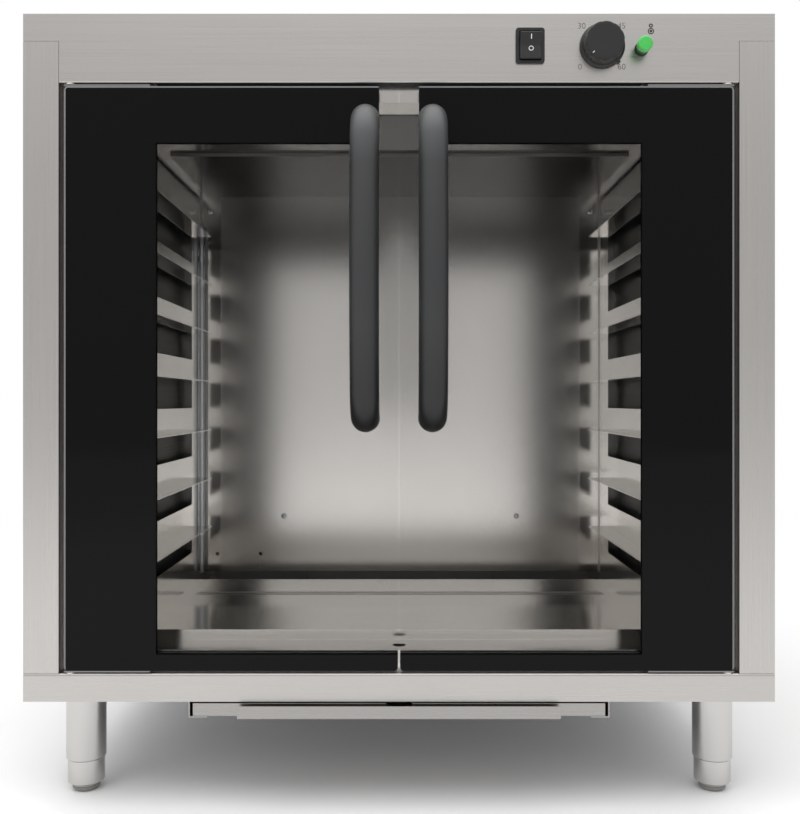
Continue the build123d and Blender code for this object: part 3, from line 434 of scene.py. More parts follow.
# mesh helpers
def place(name, mesh, finish, body, stoodFor=()):
    mesh.name = name
    mesh.materials.clear()
    mesh.materials.append(finish)
    piece = bpy.data.objects.new(name, mesh)
    bpy.context.scene.collection.objects.link(piece)
    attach(piece, body)
    if stoodFor:
        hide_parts(*stoodFor)
    return piece


def smoothAll(mesh, limit):
    for face in mesh.polygons:
        face.use_smooth = True
    mesh.set_sharp_from_angle(angle=math.radians(limit))


def fromParts(verts, faces):
    mesh = bpy.data.meshes.new("part")
    mesh.from_pydata([tuple(v) for v in verts], [], faces)
    shape = bmesh.new()
    shape.from_mesh(mesh)
    bmesh.ops.remove_doubles(shape, verts=shape.verts, dist=1e-7)
    bmesh.ops.recalc_face_normals(shape, faces=shape.faces)
    shape.to_mesh(mesh)
    shape.free()
    return mesh


def tubeFaces(rings, steps):
    # the skin over a row of rings, closed by a face at both ends
    faces = []
    for row in range(rings - 1):
        for step in range(steps):
            following = (step + 1) % steps
            faces.append((row * steps + step, row * steps + following,
                          (row + 1) * steps + following, (row + 1) * steps + step))
    faces.append(tuple(range(steps))[::-1])
    last = (rings - 1) * steps
    faces.append(tuple(range(last, last + steps)))
    return faces


def turnedMesh(profile, centre, axis, steps):
    # profile holds (radius, distance along the axis) pairs, closed at both ends on the axis
    verts = []
    centre, axis = Vector(centre), Vector(axis).normalized()
    side = axis.orthogonal().normalized()
    other = axis.cross(side)
    for radius, distance in profile:
        for step in range(steps):
            angle = 2 * math.pi * step / steps
            outwards = side * math.cos(angle) + other * math.sin(angle)
            verts.append(centre + axis * distance + outwards * radius)
    return fromParts(verts, tubeFaces(len(profile), steps))


def rounded(profile, radius):
    # rounds the inner corners of a turned profile
    bends = 4
    made = [profile[0]]
    for before, corner, after in zip(profile, profile[1:], profile[2:]):
        here = Vector(corner)
        start, end = Vector(before) - here, Vector(after) - here
        cut = min(radius, start.length * 0.45, end.length * 0.45)
        a, b = here + start.normalized() * cut, here + end.normalized() * cut
        for step in range(bends + 1):
            t = step / bends
            made.append(tuple(a * (1 - t) ** 2 + here * 2 * t * (1 - t) + b * t ** 2))
    made.append(profile[-1])
    return made


def slab(size, centre, turn=Matrix.Identity(3), corner=0.0):
    # a small block in place, with rounded edges where it has a corner radius
    shape = bmesh.new()
    bmesh.ops.create_cube(shape, size=1.0)
    bmesh.ops.scale(shape, vec=size, verts=shape.verts)
    if corner:
        bmesh.ops.bevel(shape, geom=shape.edges[:], offset=corner, segments=2, affect="EDGES", profile=0.5)
    bmesh.ops.transform(shape, matrix=Matrix.Translation(centre) @ turn.to_4x4(), verts=shape.verts)
    mesh = bpy.data.meshes.new("slab")
    shape.to_mesh(mesh)
    shape.free()
    return mesh


def joinMeshes(meshes):
    shape = bmesh.new()
    for mesh in meshes:
        shape.from_mesh(mesh)
    whole = bpy.data.meshes.new("joined")
    shape.to_mesh(whole)
    shape.free()
    return whole


# sheet metal with rounded folds, widths and radii in millimetres
sheetEdges = {
    "control_panel": 0.5, "bottom_front_panel": 0.5, "left_side_panel": 0.5, "right_side_panel": 0.5,
    "top_panel": 0.5, "front_frame": 0.4, "drip_tray": 0.35, "left_tray_runner": 0.5,
    "right_tray_runner": 0.5, "switch_housing": 0.35, "switch_rocker": 0.4,
}
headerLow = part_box("control_panel")[0].z
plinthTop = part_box("bottom_front_panel")[1].z
# height of the fold along the front, and its outer radius
frontFolds = {"control_panel": (headerLow, 1.6), "bottom_front_panel": (plinthTop, 3.0)}


def softened(node, width):
    # a copy of a sheet-metal node with its folds and edges rounded
    source = nodes[node]
    mesh = source.data.copy()
    shape = bmesh.new()
    shape.from_mesh(mesh)
    bmesh.ops.remove_doubles(shape, verts=shape.verts, dist=2e-6)
    bmesh.ops.dissolve_limit(shape, angle_limit=math.radians(1), verts=shape.verts, edges=shape.edges)
    if node in frontFolds:
        height, radius = frontFolds[node]
        near = 1e-5
        fold = [edge for edge in shape.edges
                if all(abs(v.co.z - height) < near and abs(v.co.y - frontY) < near for v in edge.verts)]
        bmesh.ops.bevel(shape, geom=fold, offset=radius * mm, segments=6, affect="EDGES", profile=0.5)
    shape.to_mesh(mesh)
    shape.free()
    piece = place(node + "_soft", mesh, source.data.materials[0], source["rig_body"],
                  [node])
    bevel = piece.modifiers.new("edges", "BEVEL")
    bevel.width = width
    bevel.segments = 2
    bevel.limit_method = "ANGLE"
    bevel.angle_limit = math.radians(35)


for node, width in sheetEdges.items():
    softened(node, width * mm)
print("folds rounded:", len(sheetEdges))

# straight strips: half their length, depth behind the front plane, and height
strips = {
    # painted shade: a black strip stands for the shade in the gap under the header
    "headerGapStrip": {  # dark strip in the gap under the header
        "half": 254.0, "front": 1.6, "back": 11.2, "low": headerLow / mm - 0.4, "high": headerLow / mm,
        "finish": sealRubber, "slot": "seal_rubber"},
    # painted shade: a grey bead stands for the shade at the foot of the floor's rear step
    "floorJointBead": {  # bead along the rear step of the chamber floor
        "half": 291.4, "front": 378.0, "back": 379.2, "low": 148.9, "high": 149.9,
        "finish": footPad, "slot": "seal_rubber"},
    "ceilingPlateEdge": {  # satin edge along the front of the ceiling plate
        "half": 290.5, "front": 210.2, "back": 210.9, "low": 736.1, "high": 739.8,
        "finish": edgeSteel, "slot": "inner_steel"},
}
for name, strip in strips.items():
    size = Vector((2 * strip["half"], strip["back"] - strip["front"], strip["high"] - strip["low"])) * mm
    centre = Vector((0, strip["front"] + strip["back"], strip["low"] + strip["high"])) / 2 * mm
    place(name, slab(size, centre + Vector((0, frontY, 0))), strip["finish"], "cabinet")
print("strips laid:", len(strips))

# door handles
handleBar = {
    "diameter": 29.8, "reach": 58.0, "bow": 16.0, "bend": 24.0, "side": 34.7, "top": 718.0,
    "bottom": 408.4, "around": 48, "bowSteps": 60, "bendSteps": 12,
    "pull": 0.56,  # how far a bend reaches into its corner
    "legShare": 0.9,  # most of a leg that a bend may take
}


def handlePath():
    top, bottom, bow, bend = (handleBar[key] for key in ("top", "bottom", "bow", "bend"))
    endReach = handleBar["reach"] - handleBar["diameter"] / 2 - bow
    middle, rise = (top + bottom) / 2, (top - bottom) / 2
    radius = (rise ** 2 + bow ** 2) / (2 * bow)
    points = []
    for step in range(handleBar["bowSteps"] + 1):
        z = top - 2 * rise * step / handleBar["bowSteps"]
        depth = endReach - (radius - bow) + math.sqrt(radius ** 2 - (z - middle) ** 2)
        points.append(Vector((depth, z)))
    # a quarter bend at each end, as a smooth run from the leg into the bow
    keep = [point for point in points if bottom + bend < point.y < top - bend]
    pull = handleBar["pull"]
    runs = []
    for number, height in ((0, top), (-1, bottom)):
        leg, corner, first = Vector((0, height)), points[number], keep[number]
        away = leg - corner
        start = corner + away.normalized() * min(bend, away.length * handleBar["legShare"])
        run = [leg]
        for step in range(handleBar["bendSteps"] + 1):
            t = step / handleBar["bendSteps"]
            run.append(start * (1 - t) ** 3 + (start + (corner - start) * pull) * 3 * t * (1 - t) ** 2
                       + (first + (corner - first) * pull) * 3 * t ** 2 * (1 - t) + first * t ** 3)
        runs.append(run)
    return runs[0] + keep[1:-1] + runs[1][::-1]


def sweptTube(path, diameter, around):
    # path holds points in space; each ring stands square to the run
    verts = []
    up = Vector((1, 0, 0))
    for number, point in enumerate(path):
        before, after = path[max(0, number - 1)], path[min(len(path) - 1, number + 1)]
        other = (after - before).normalized().cross(up).normalized()
        for step in range(around):
            angle = 2 * math.pi * step / around
            verts.append(point + (up * math.cos(angle) + other * math.sin(angle)) * diameter / 2)
    return fromParts(verts, tubeFaces(len(path), around))


for sideName, hand in (("left", -1), ("right", 1)):
    line = [Vector((hand * handleBar["side"], 0, p.y)) * mm + Vector((0, frontY - p.x * mm, 0))
            for p in handlePath()]
    tube = sweptTube(line, handleBar["diameter"] * mm, handleBar["around"])
    smoothAll(tube, 50)
    place(sideName + "HandleBar", tube, handlePlastic, sideName + "_door",
          [sideName + "_door_handle"])
print("handles made")

# thermostat knob
knob = {
    "x": 211.8, "z": 796.0, "gap": 0.8, "skirt": 47.0, "skirtHeight": 3.0, "front": 40.0,
    "root": 42.6, "height": 17.0, "round": 1.2, "around": 132, "grips": 11, "gripDepth": 0.45,
    "tickAngle": 225, "tickLength": 2.6, "tickWidth": 0.7, "tickThickness": 0.3, "tickInset": 1.6,
    "lugAngle": 45, "lugWidth": 3.2, "lugThickness": 2.0, "lugHeight": 2.0, "lugOut": 0.2,
}
knobCentre = Vector((knob["x"] * mm, frontY, knob["z"] * mm))
outward = Vector((0, -1, 0))


def knobMesh():
    skirt, front, root = knob["skirt"] / 2, knob["front"] / 2, knob["root"] / 2
    profile = [(0.5, knob["gap"]), (skirt - 0.4, knob["gap"]), (skirt, knob["gap"] + 0.5),
               (skirt, knob["skirtHeight"] - 0.4), (skirt - 0.5, knob["skirtHeight"]),
               (root + 0.5, knob["skirtHeight"] + 0.5), (root - 0.2, knob["skirtHeight"] + 1.4),
               (front, knob["height"] - 0.2), (front - 2.2, knob["height"]), (0.5, knob["height"] - 0.25)]
    shape = rounded(profile, knob["round"])
    mesh = turnedMesh([(r * mm, h * mm) for r, h in shape], knobCentre, outward, knob["around"])
    for vert in mesh.vertices:
        away = Vector((vert.co.x - knobCentre.x, 0, vert.co.z - knobCentre.z))
        rise = (frontY - vert.co.y) / mm
        if rise > knob["skirtHeight"] + 0.8 and away.length > (front - 3.5) * mm:
            dip = max(0, math.cos(math.atan2(away.z, away.x) * knob["grips"])) ** 2
            vert.co -= away.normalized() * dip * knob["gripDepth"] * mm
    return mesh


def knobDetail(angle, radius, height, size, corner):
    # a small block set on the knob, at an angle and a radius
    turn = Matrix.Rotation(math.radians(angle), 3, "Y")
    middle = turn @ Vector((radius, 0, 0)) * mm
    return slab([side * mm for side in size], knobCentre + middle + outward * height * mm, turn, corner * mm)


knobTurned = knobMesh()
smoothAll(knobTurned, 40)
place("thermostatKnobBody", knobTurned, knobPlastic, "knob", ["thermostat_knob"])
tick = knobDetail(-knob["tickAngle"], knob["front"] / 2 - knob["tickInset"] - knob["tickLength"] / 2,
                  knob["height"] - 0.1, (knob["tickLength"], knob["tickThickness"], knob["tickWidth"]), 0.1)
place("knobTick", tick, markWhite, "knob")
lug = knobDetail(knob["lugAngle"], knob["skirt"] / 2 + knob["lugOut"], knob["lugHeight"],
                 (knob["lugWidth"], knob["lugThickness"], knob["lugWidth"]), 0.3)
place("knobLug", lug, knobPlastic, "knob")

# printed marks
marks = {
    "numberHeight": 6.3, "capShare": 0.72, "slimming": 0.012,  # as shares of the type size and the height
    "thickness": 0.05, "lift": 0.03,
    "numbers": [("0", 188.7, 774.2), ("30", 190.4, 816.9), ("45", 232.0, 817.0), ("60", 232.1, 774.2)],
}
thermometer = {
    "x": 262.6, "topZ": 817.4, "topRadius": 2.2, "topHole": 0.9, "bulbZ": 811.6, "bulbRadius": 3.3,
    "bulbHole": 2.2, "dot": 1.5,
}
markY = frontY - marks["lift"] * mm
thin = marks["thickness"] * mm


def textMesh(words, height, thickness):
    curve = bpy.data.curves.new("words", "FONT")
    curve.body = words
    curve.size = height / marks["capShare"]
    curve.extrude = thickness / 2
    curve.offset = -height * marks["slimming"]
    curve.align_x = "CENTER"
    curve.align_y = "CENTER"
    holder = bpy.data.objects.new("words", curve)
    bpy.context.scene.collection.objects.link(holder)
    return plainMesh(holder)


def plainMesh(holder):
    # the finished mesh of a helper object, which is then dropped
    bpy.context.view_layer.update()
    mesh = bpy.data.meshes.new_from_object(holder.evaluated_get(bpy.context.evaluated_depsgraph_get()))
    bpy.data.objects.remove(holder)
    return mesh


def ringMesh(inside, outside, thickness, centre, turn=Matrix.Identity(3)):
    # a flat ring facing forwards
    steps = 40
    verts, faces = [], []
    for depth in (-thickness / 2, thickness / 2):
        for radius in (inside, outside):
            for step in range(steps):
                angle = 2 * math.pi * step / steps
                flat = Vector((radius * math.cos(angle), depth, radius * math.sin(angle)))
                verts.append(turn @ flat + centre)
    for step in range(steps):
        here, following = step, (step + 1) % steps
        for first, second in ((0, 1), (3, 2), (2, 0), (1, 3)):
            faces.append((first * steps + here, first * steps + following,
                          second * steps + following, second * steps + here))
    return fromParts(verts, faces)


def discMesh(radius, thickness, centre):
    inside, half = radius * 0.02, thickness / 2
    profile = [(inside, -half), (radius, -half), (radius, half), (inside, half)]
    return turnedMesh(profile, centre, (0, 1, 0), 32)


for words, x, z in marks["numbers"]:
    mesh = textMesh(words, marks["numberHeight"] * mm, thin)
    spot = Matrix.Translation(Vector((x * mm, markY, z * mm)))
    mesh.transform(spot @ Matrix.Rotation(math.radians(90), 4, "X"))
    place("dialNumber" + words, mesh, markGrey, "cabinet")
topSpot = Vector((thermometer["x"] * mm, markY, thermometer["topZ"] * mm))
bulbSpot = Vector((thermometer["x"] * mm, markY, thermometer["bulbZ"] * mm))
thermometerMesh = joinMeshes([
    ringMesh(thermometer["topHole"] * mm, thermometer["topRadius"] * mm, thin, topSpot),
    ringMesh(thermometer["bulbHole"] * mm, thermometer["bulbRadius"] * mm, thin, bulbSpot),
    discMesh(thermometer["dot"] * mm, thin, bulbSpot),
])
place("thermometerMark", thermometerMesh, markDark, "cabinet")

# marks on the leaning faces of the rocker
rocker = {
    "x": 136.6, "z": 796.0, "pivot": 4.0, "horn": 12.0, "valley": 9.0, "half": 13.6, "tilt": 8.0,
    "markShift": 0.5, "markLift": 0.04, "markThickness": 0.08, "onHeight": 8.8, "offHeight": -2.7,
    "barWidth": 1.0, "barHeight": 4.8, "ringOuter": 2.6, "ringInner": 1.9,
}


def rockerSpot(height):
    # the point and the lean of the rocker's face at a height above its pivot
    slope = (rocker["horn"] - rocker["valley"]) / rocker["half"]
    depth = rocker["valley"] + slope * abs(height)
    lean = math.atan(slope) * (1 if height < 0 else -1)
    tilt = Matrix.Rotation(math.radians(rocker["tilt"]), 3, "X")
    spot = tilt @ Vector((0, -depth - rocker["markLift"], height)) * mm
    pivot = Vector((rocker["x"] + rocker["markShift"], rocker["pivot"], rocker["z"])) * mm
    return pivot + Vector((0, frontY, 0)) + spot, tilt @ Matrix.Rotation(-lean, 3, "X")


markDepth = rocker["markThickness"] * mm
onBar = slab((rocker["barWidth"] * mm, markDepth, rocker["barHeight"] * mm), *rockerSpot(rocker["onHeight"]))
place("switchOnMark", onBar, markWhite, "rocker")
offRing = ringMesh(rocker["ringInner"] * mm, rocker["ringOuter"] * mm, markDepth,
                   *rockerSpot(rocker["offHeight"]))
place("switchOffMark", offRing, markWhite, "rocker")
print("controls marked")

# indicator lamp
lamp = {
    "x": 252.6, "z": 792.6, "root": 13.4, "front": 15.4, "reach": 19.0, "collar": 1.0, "cap": 7.0, "ribs": 16,
    "ribDepth": 0.7, "ribSteps": 6, "ribRadius": 4.0, "round": 1.2,
}


def lampMesh():
    root, front, reach = lamp["root"] / 2, lamp["front"] / 2, lamp["reach"]
    ribTop = reach - lamp["cap"]
    profile = [(0.2, lamp["collar"]), (root, lamp["collar"]), (root + 0.2, ribTop - 0.4),
               (front, ribTop + 0.4), (front, reach - 0.8), (front - 1.6, reach), (0.2, reach)]
    centre = Vector((lamp["x"] * mm, frontY, lamp["z"] * mm))
    shape = rounded(profile, lamp["round"])
    mesh = turnedMesh([(r * mm, h * mm) for r, h in shape], centre, outward, lamp["ribs"] * lamp["ribSteps"])
    ribEnd = frontY - (ribTop - 0.2) * mm
    for vert in mesh.vertices:
        away = Vector((vert.co.x - centre.x, 0, vert.co.z - centre.z))
        if vert.co.y > ribEnd and away.length > lamp["ribRadius"] * mm:
            angle = math.atan2(away.z, away.x)
            dip = lamp["ribDepth"] * mm * (0.5 - 0.5 * math.cos(angle * lamp["ribs"]))
            vert.co -= away.normalized() * dip
    return mesh, ribEnd


lens, ribEnd = lampMesh()
smoothAll(lens, 35)
place("lampLens", lens, lampGreen, "cabinet", ["lamp_lens"])
lens.materials.append(lampSide)
for face in lens.polygons:
    if face.center.y > ribEnd:
        face.material_index = 1
print("lamp made")

# adjustable feet
foot = {
    "x": 345.0, "front": 57.0, "rear": 577.0, "sleeve": 42.4, "sleeveBottom": 35.5, "sleeveTop": 110.6,
    "plate": 58.0, "plateBottom": 110.6, "plateTop": 113.6, "foot": 39.0, "padHeight": 6.5, "pad": 29.0,
    "stem": 12.0, "stemTop": 97.5, "around": 72,
}
footNames = [("front_left", -1, "front"), ("front_right", 1, "front"), ("rear_left", -1, "rear"),
             ("rear_right", 1, "rear")]


def footTurned(profile, radius, centre):
    shape = rounded(profile, radius)
    return turnedMesh([(r * mm, h * mm) for r, h in shape], centre, (0, 0, 1), foot["around"])


sleeves = []
for name, hand, row in footNames:
    centre = Vector((hand * foot["x"] * mm, frontY + foot[row] * mm, 0))
    stem, pad, body, sleeve = (foot[key] / 2 for key in ("stem", "pad", "foot", "sleeve"))
    padTop, low = foot["padHeight"], foot["sleeveBottom"]
    mesh = footTurned([(stem - 0.1, padTop - 0.5), (pad, padTop - 0.5), (pad, padTop + 0.4),
                       (body, padTop + 3.0), (body, low - 1.0), (body - 1.0, low - 0.2),
                       (stem, low - 0.2), (stem, foot["stemTop"])], 0.9, centre)
    smoothAll(mesh, 40)
    place(name + "FootBody", mesh, footSteel, name + "_stand", [name + "_foot"])
    mesh = footTurned([(1.0, 0.0), (pad - 2.4, 0.0), (pad, 2.4), (pad, padTop - 0.6), (1.0, padTop - 0.6)],
                      1.0, centre)
    smoothAll(mesh, 40)
    place(name + "FootSole", mesh, footPad, name + "_stand")
    sleeves.append(footTurned([(body - 4.0, low + 0.1), (sleeve, low + 0.1), (sleeve, foot["sleeveTop"]),
                               (body - 4.0, foot["sleeveTop"])], 0.8, centre))
    middle = centre + Vector((0, 0, (foot["plateBottom"] + foot["plateTop"]) / 2 * mm))
    size = (foot["plate"] * mm, foot["plate"] * mm, (foot["plateTop"] - foot["plateBottom"]) * mm)
    sleeves.append(slab(size, middle, corner=0.6 * mm))
sleeveMesh = joinMeshes(sleeves)
smoothAll(sleeveMesh, 40)
place("footSleeves", sleeveMesh, footSteel, "cabinet", ["foot_sleeves"])
print("feet made")


# geometry trees: inputs by name and kind, instances made real and given their finish at the end
def newTree(name, kinds):
    tree = bpy.data.node_groups.new(name, "GeometryNodeTree")
    for label, kind in kinds.items():
        tree.interface.new_socket(label, in_out="INPUT", socket_type="NodeSocket" + kind)
    tree.interface.new_socket("Geometry", in_out="OUTPUT", socket_type="NodeSocketGeometry")
    return tree, addNode(tree, "NodeGroupInput").outputs


def closeTree(tree, given, spots):
    realize = addNode(tree, "GeometryNodeRealizeInstances")
    tree.links.new(spots.outputs["Instances"], realize.inputs["Geometry"])
    paint = addNode(tree, "GeometryNodeSetMaterial")
    tree.links.new(realize.outputs["Geometry"], paint.inputs["Geometry"])
    tree.links.new(given["Finish"], paint.inputs["Material"])
    tree.links.new(paint.outputs["Geometry"], addNode(tree, "NodeGroupOutput").inputs["Geometry"])
    return tree


def vector(tree, *values):
    made = addNode(tree, "ShaderNodeCombineXYZ")
    for socket, value in zip(made.inputs, values):
        if isinstance(value, (int, float)):
            socket.default_value = value
        else:
            tree.links.new(value, socket)
    return made.outputs[0]


def grown(name, tree, baseMesh, values):
    # runs a tree on a base mesh and gives the result as a plain mesh
    sockets = {item.name: item.identifier for item in tree.interface.items_tree if item.in_out == "INPUT"}
    holder = bpy.data.objects.new(name + "Base", baseMesh)
    bpy.context.scene.collection.objects.link(holder)
    modifier = holder.modifiers.new("nodes", "NODES")
    modifier.node_group = tree
    for key, value in values.items():
        modifier[sockets[key]] = value
    return plainMesh(holder)


# screws, domed heads with a cross recess
screws = {
    "panelX": 380.8, "panelLow": 150.0, "panelHigh": 765.3, "panelRows": 4,
    "panel": {"Diameter": 8.0, "Height": 2.1},
    "liner": {"Diameter": 7.8, "Height": 1.9},
    "duct": [(288.1, 445.2, 713.3), (176.5, 446.0, 251.4)],  # side, depth and height
    "segments": 28, "rings": 16,
    "recessLength": 0.56, "recessWidth": 0.13, "recessLift": 0.95,  # as shares of the head
}


def screwTree():
    tree, given = newTree("screwHeads", {"Geometry": "Geometry", "Diameter": "Float", "Height": "Float",
                                         "Facing": "Vector", "Finish": "Material"})
    link = tree.links.new
    diameter, height = given["Diameter"], given["Height"]
    ball = addNode(tree, "GeometryNodeMeshUVSphere")
    ball.inputs["Segments"].default_value = screws["segments"]
    ball.inputs["Rings"].default_value = screws["rings"]
    ball.inputs["Radius"].default_value = 0.5
    squeeze = addNode(tree, "GeometryNodeTransform")
    link(ball.outputs["Mesh"], squeeze.inputs["Geometry"])
    link(vector(tree, diameter, diameter, mathNode(tree, "MULTIPLY", height, 2.0)), squeeze.inputs["Scale"])
    cut = addNode(tree, "GeometryNodeMeshBoolean", operation="DIFFERENCE")
    link(squeeze.outputs["Geometry"], cut.inputs["Mesh 1"])
    length = mathNode(tree, "MULTIPLY", diameter, screws["recessLength"])
    width = mathNode(tree, "MULTIPLY", diameter, screws["recessWidth"])
    for sizes in ((length, width, height), (width, length, height)):
        block = addNode(tree, "GeometryNodeMeshCube")
        link(vector(tree, *sizes), block.inputs["Size"])
        lift = addNode(tree, "GeometryNodeTransform")
        link(block.outputs["Mesh"], lift.inputs["Geometry"])
        rise = mathNode(tree, "MULTIPLY", height, screws["recessLift"])
        link(vector(tree, 0.0, 0.0, rise), lift.inputs["Translation"])
        link(lift.outputs["Geometry"], cut.inputs["Mesh 2"])
    spots = addNode(tree, "GeometryNodeInstanceOnPoints")
    link(given["Geometry"], spots.inputs["Points"])
    link(cut.outputs["Mesh"], spots.inputs["Instance"])
    turn = addNode(tree, "FunctionNodeEulerToRotation")
    link(given["Facing"], turn.inputs[0])
    link(turn.outputs[0], spots.inputs["Rotation"])
    return closeTree(tree, given, spots)


heads = screwTree()
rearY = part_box("rear_panel")[1].y
rowStep = (screws["panelHigh"] - screws["panelLow"]) / (screws["panelRows"] - 1)
rearPoints = [(side * screws["panelX"] * mm, rearY, (screws["panelLow"] + rowStep * row) * mm)
              for side in (-1, 1) for row in range(screws["panelRows"])]
ductPoints = [(side * x * mm, frontY + depth * mm, z * mm)
              for x, depth, z in screws["duct"] for side in (-1, 1)]
screwSets = [
    ("panelScrewHeads", rearPoints, (-math.pi / 2, 0, 0), "panel"),
    ("ductScrewHeads", ductPoints, (math.pi / 2, 0, 0), "liner"),
]
for name, points, facing, kind in screwSets:
    pointMesh = bpy.data.meshes.new("points")
    pointMesh.from_pydata(points, [], [])
    sizes = {key: size * mm for key, size in screws[kind].items()}
    mesh = grown(name, heads, pointMesh, {**sizes, "Facing": facing, "Finish": screwZinc})
    smoothAll(mesh, 30)
    place(name, mesh, screwZinc, "cabinet", [kind + "_screws"])
print("screws set")

# tray ledges, one bent tongue set out along both racks
ledge = {
    "tip": 273.0, "root": 302.0, "front": 72.3, "back": 382.3, "sheet": 1.2, "lowest": 245.0, "pitch": 70.0,
    "count": 7, "edge": 0.3,
}


def ledgeTree():
    tree, given = newTree("ledgeRows", {"Geometry": "Geometry", "Count": "Int", "Pitch": "Float",
                                        "Finish": "Material"})
    row = addNode(tree, "GeometryNodeMeshLine", mode="OFFSET")
    tree.links.new(given["Count"], row.inputs["Count"])
    tree.links.new(vector(tree, 0.0, 0.0, given["Pitch"]), row.inputs["Offset"])
    spots = addNode(tree, "GeometryNodeInstanceOnPoints")
    tree.links.new(row.outputs["Mesh"], spots.inputs["Points"])
    tree.links.new(given["Geometry"], spots.inputs["Instance"])
    return closeTree(tree, given, spots)


def ledgePair():
    size = ((ledge["root"] - ledge["tip"]) * mm, (ledge["back"] - ledge["front"]) * mm, ledge["sheet"] * mm)
    middle = ((ledge["root"] + ledge["tip"]) / 2 * mm, frontY + (ledge["front"] + ledge["back"]) / 2 * mm,
              (ledge["lowest"] - ledge["sheet"] / 2) * mm)
    return joinMeshes([slab(size, Vector((side * middle[0], middle[1], middle[2])), corner=ledge["edge"] * mm)
                       for side in (-1, 1)])


rows = grown("trayLedges", ledgeTree(), ledgePair(),
             {"Count": ledge["count"], "Pitch": ledge["pitch"] * mm, "Finish": rackSteel})
place("trayLedgeRows", rows, rackSteel, "cabinet", ["tray_ledges"])
print("ledges set")

# floor, light and camera, in metres
studio = {
    "floorSize": 14.0, "floorColour": (0.95, 0.95, 0.95), "fadeFrom": 1.2, "fadeTo": 3.2,
    "floorDimming": 0.12,  # share taken off the floor where metal mirrors it
    "ambientLow": 0.04, "ambientHigh": 1.4,  # what matt surfaces are lit by, level with the eye and overhead
    # rise of the direction and strength of the sky that metal mirrors
    "mirrored": [(0.0, 0.56), (0.34, 0.62), (0.6, 1.25), (1.0, 3.0)],
    "aim": (0, 0, 0.4),
}
lights = {
    "keyAbove": {"size": (2.4, 2.0), "power": 27.0, "spot": (-0.3, -0.9, 2.3)},
    "fillFront": {"size": (1.6, 1.2), "power": 6.0, "spot": (-1.6, -2.2, 1.2)},
}
camera = {
    "lens": 41.36, "sensor": 36.0, "nearest": 0.05,
    "shift": (-2.6 / 814, -5.7 / 814),  # as shares of the longer side of the view
    "side": 0.00375, "distance": 0.975, "height": 0.4257,
}


def makeFloor():
    mesh = bpy.data.meshes.new("floorSheet")
    half = studio["floorSize"] / 2
    corners = [(-half, -half, 0), (half, -half, 0), (half, half, 0), (-half, half, 0)]
    mesh.from_pydata(corners, [], [(0, 1, 2, 3)])
    sheet = bpy.data.objects.new("floorSheet", mesh)
    bpy.context.scene.collection.objects.link(sheet)
    colour = studio["floorColour"]
    finish, tree, shader = newMaterial("paleFloor", colour, 0.0, 0.6, 0.2)
    mottle = noise(tree, 3.0, (1, 1, 1), 2.0, 0.5)
    tint = blendColours(tree, mottle, shade(colour, 0.995), shade(colour, 1.005))
    tree.links.new(tint, shader.inputs["Base Color"])
    # the sheet melts into the white backdrop with the distance
    coords = addNode(tree, "ShaderNodeTexCoord")
    length = addNode(tree, "ShaderNodeVectorMath", operation="LENGTH")
    tree.links.new(coords.outputs["Object"], length.inputs[0])
    far = spread(tree, length.outputs["Value"], 0, 1, studio["fadeFrom"], studio["fadeTo"])
    path = addNode(tree, "ShaderNodeLightPath")
    share = mathNode(tree, "MULTIPLY", far, path.outputs["Is Camera Ray"])
    faded = mixShaders(tree, share, shader, addNode(tree, "ShaderNodeEmission"))
    mirrored = mathNode(tree, "MULTIPLY", path.outputs["Is Glossy Ray"], studio["floorDimming"])
    dimmed = mixShaders(tree, mirrored, faded)
    out = [node for node in tree.nodes if node.type == "OUTPUT_MATERIAL"][0]
    tree.links.new(dimmed.outputs[0], out.inputs["Surface"])
    mesh.materials.append(finish)


def mixShaders(tree, share, *mixed):
    # one shader only is blended with black
    made = addNode(tree, "ShaderNodeMixShader")
    tree.links.new(share, made.inputs[0])
    for number, shader in enumerate(mixed, 1):
        tree.links.new(shader.outputs[0], made.inputs[number])
    return made


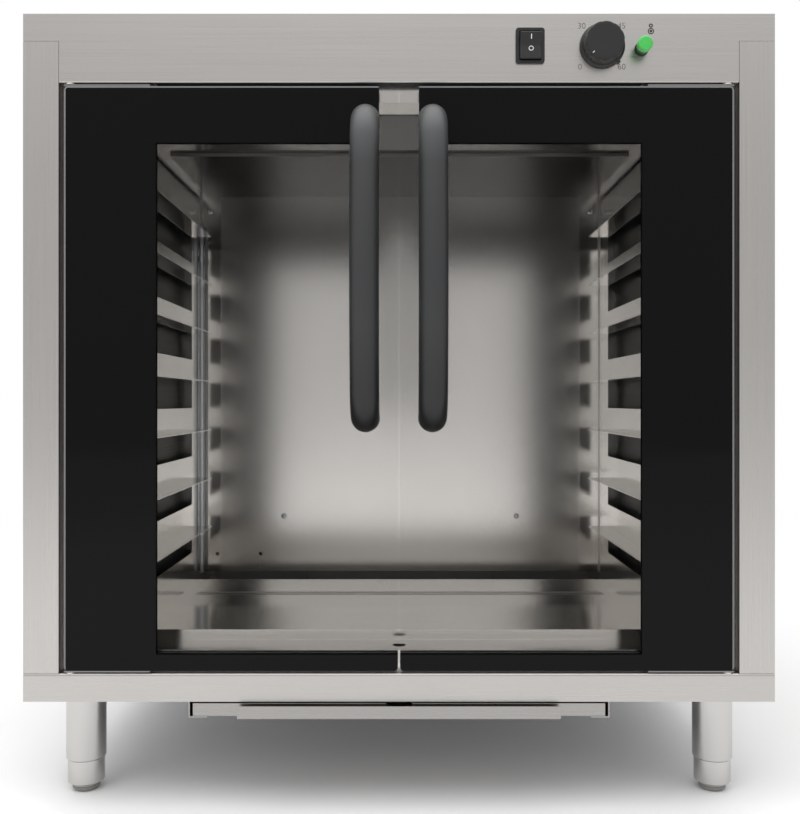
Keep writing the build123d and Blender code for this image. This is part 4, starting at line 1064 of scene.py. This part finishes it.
def makeSky():
    world = bpy.data.worlds.new("studioSky")
    bpy.context.scene.world = world
    world.use_nodes = True
    tree = world.node_tree
    tree.nodes.clear()
    out = addNode(tree, "ShaderNodeOutputWorld")
    path = addNode(tree, "ShaderNodeLightPath")
    coords = addNode(tree, "ShaderNodeTexCoord")
    parts = addNode(tree, "ShaderNodeSeparateXYZ")
    tree.links.new(coords.outputs["Generated"], parts.inputs[0])
    glossy, ambient, white = (addNode(tree, "ShaderNodeBackground") for _ in range(3))
    steps = studio["mirrored"]
    rise = steps[0][1]
    for (low, before), (high, after) in zip(steps, steps[1:]):
        rise = mathNode(tree, "ADD", spread(tree, parts.outputs["Z"], 0, after - before, low, high), rise)
    tree.links.new(rise, glossy.inputs["Strength"])
    lift = spread(tree, parts.outputs["Z"], studio["ambientLow"], studio["ambientHigh"], 0.0, 1.0)
    tree.links.new(lift, ambient.inputs["Strength"])
    white.inputs["Strength"].default_value = 1.0
    for sky in (glossy, ambient, white):
        sky.inputs["Color"].default_value = (1, 1, 1, 1)
    lighting = mixShaders(tree, path.outputs["Is Glossy Ray"], ambient, glossy)
    seen = mixShaders(tree, path.outputs["Is Camera Ray"], lighting, white)
    tree.links.new(seen.outputs[0], out.inputs[0])


def makeLight(name):
    light = bpy.data.lights.new(name, "AREA")
    light.shape = "RECTANGLE"
    light.size, light.size_y = lights[name]["size"]
    light.energy = lights[name]["power"]
    holder = bpy.data.objects.new(name, light)
    bpy.context.scene.collection.objects.link(holder)
    holder.location = lights[name]["spot"]
    holder.rotation_euler = (Vector(studio["aim"]) - holder.location).to_track_quat("-Z", "Y").to_euler()
    holder.visible_glossy = False


def makeCamera():
    view = bpy.data.cameras.new("view")
    view.lens = camera["lens"]
    view.sensor_width = camera["sensor"]
    view.shift_x, view.shift_y = camera["shift"]
    view.clip_start = camera["nearest"]
    holder = bpy.data.objects.new("view", view)
    bpy.context.scene.collection.objects.link(holder)
    holder.location = (camera["side"], frontY - camera["distance"], camera["height"])
    holder.rotation_euler = (math.pi / 2, 0, 0)
    bpy.context.scene.camera = holder


makeFloor()
makeSky()
for name in lights:
    makeLight(name)
makeCamera()
bpy.context.scene.view_settings.view_transform = "Standard"
print("studio ready")
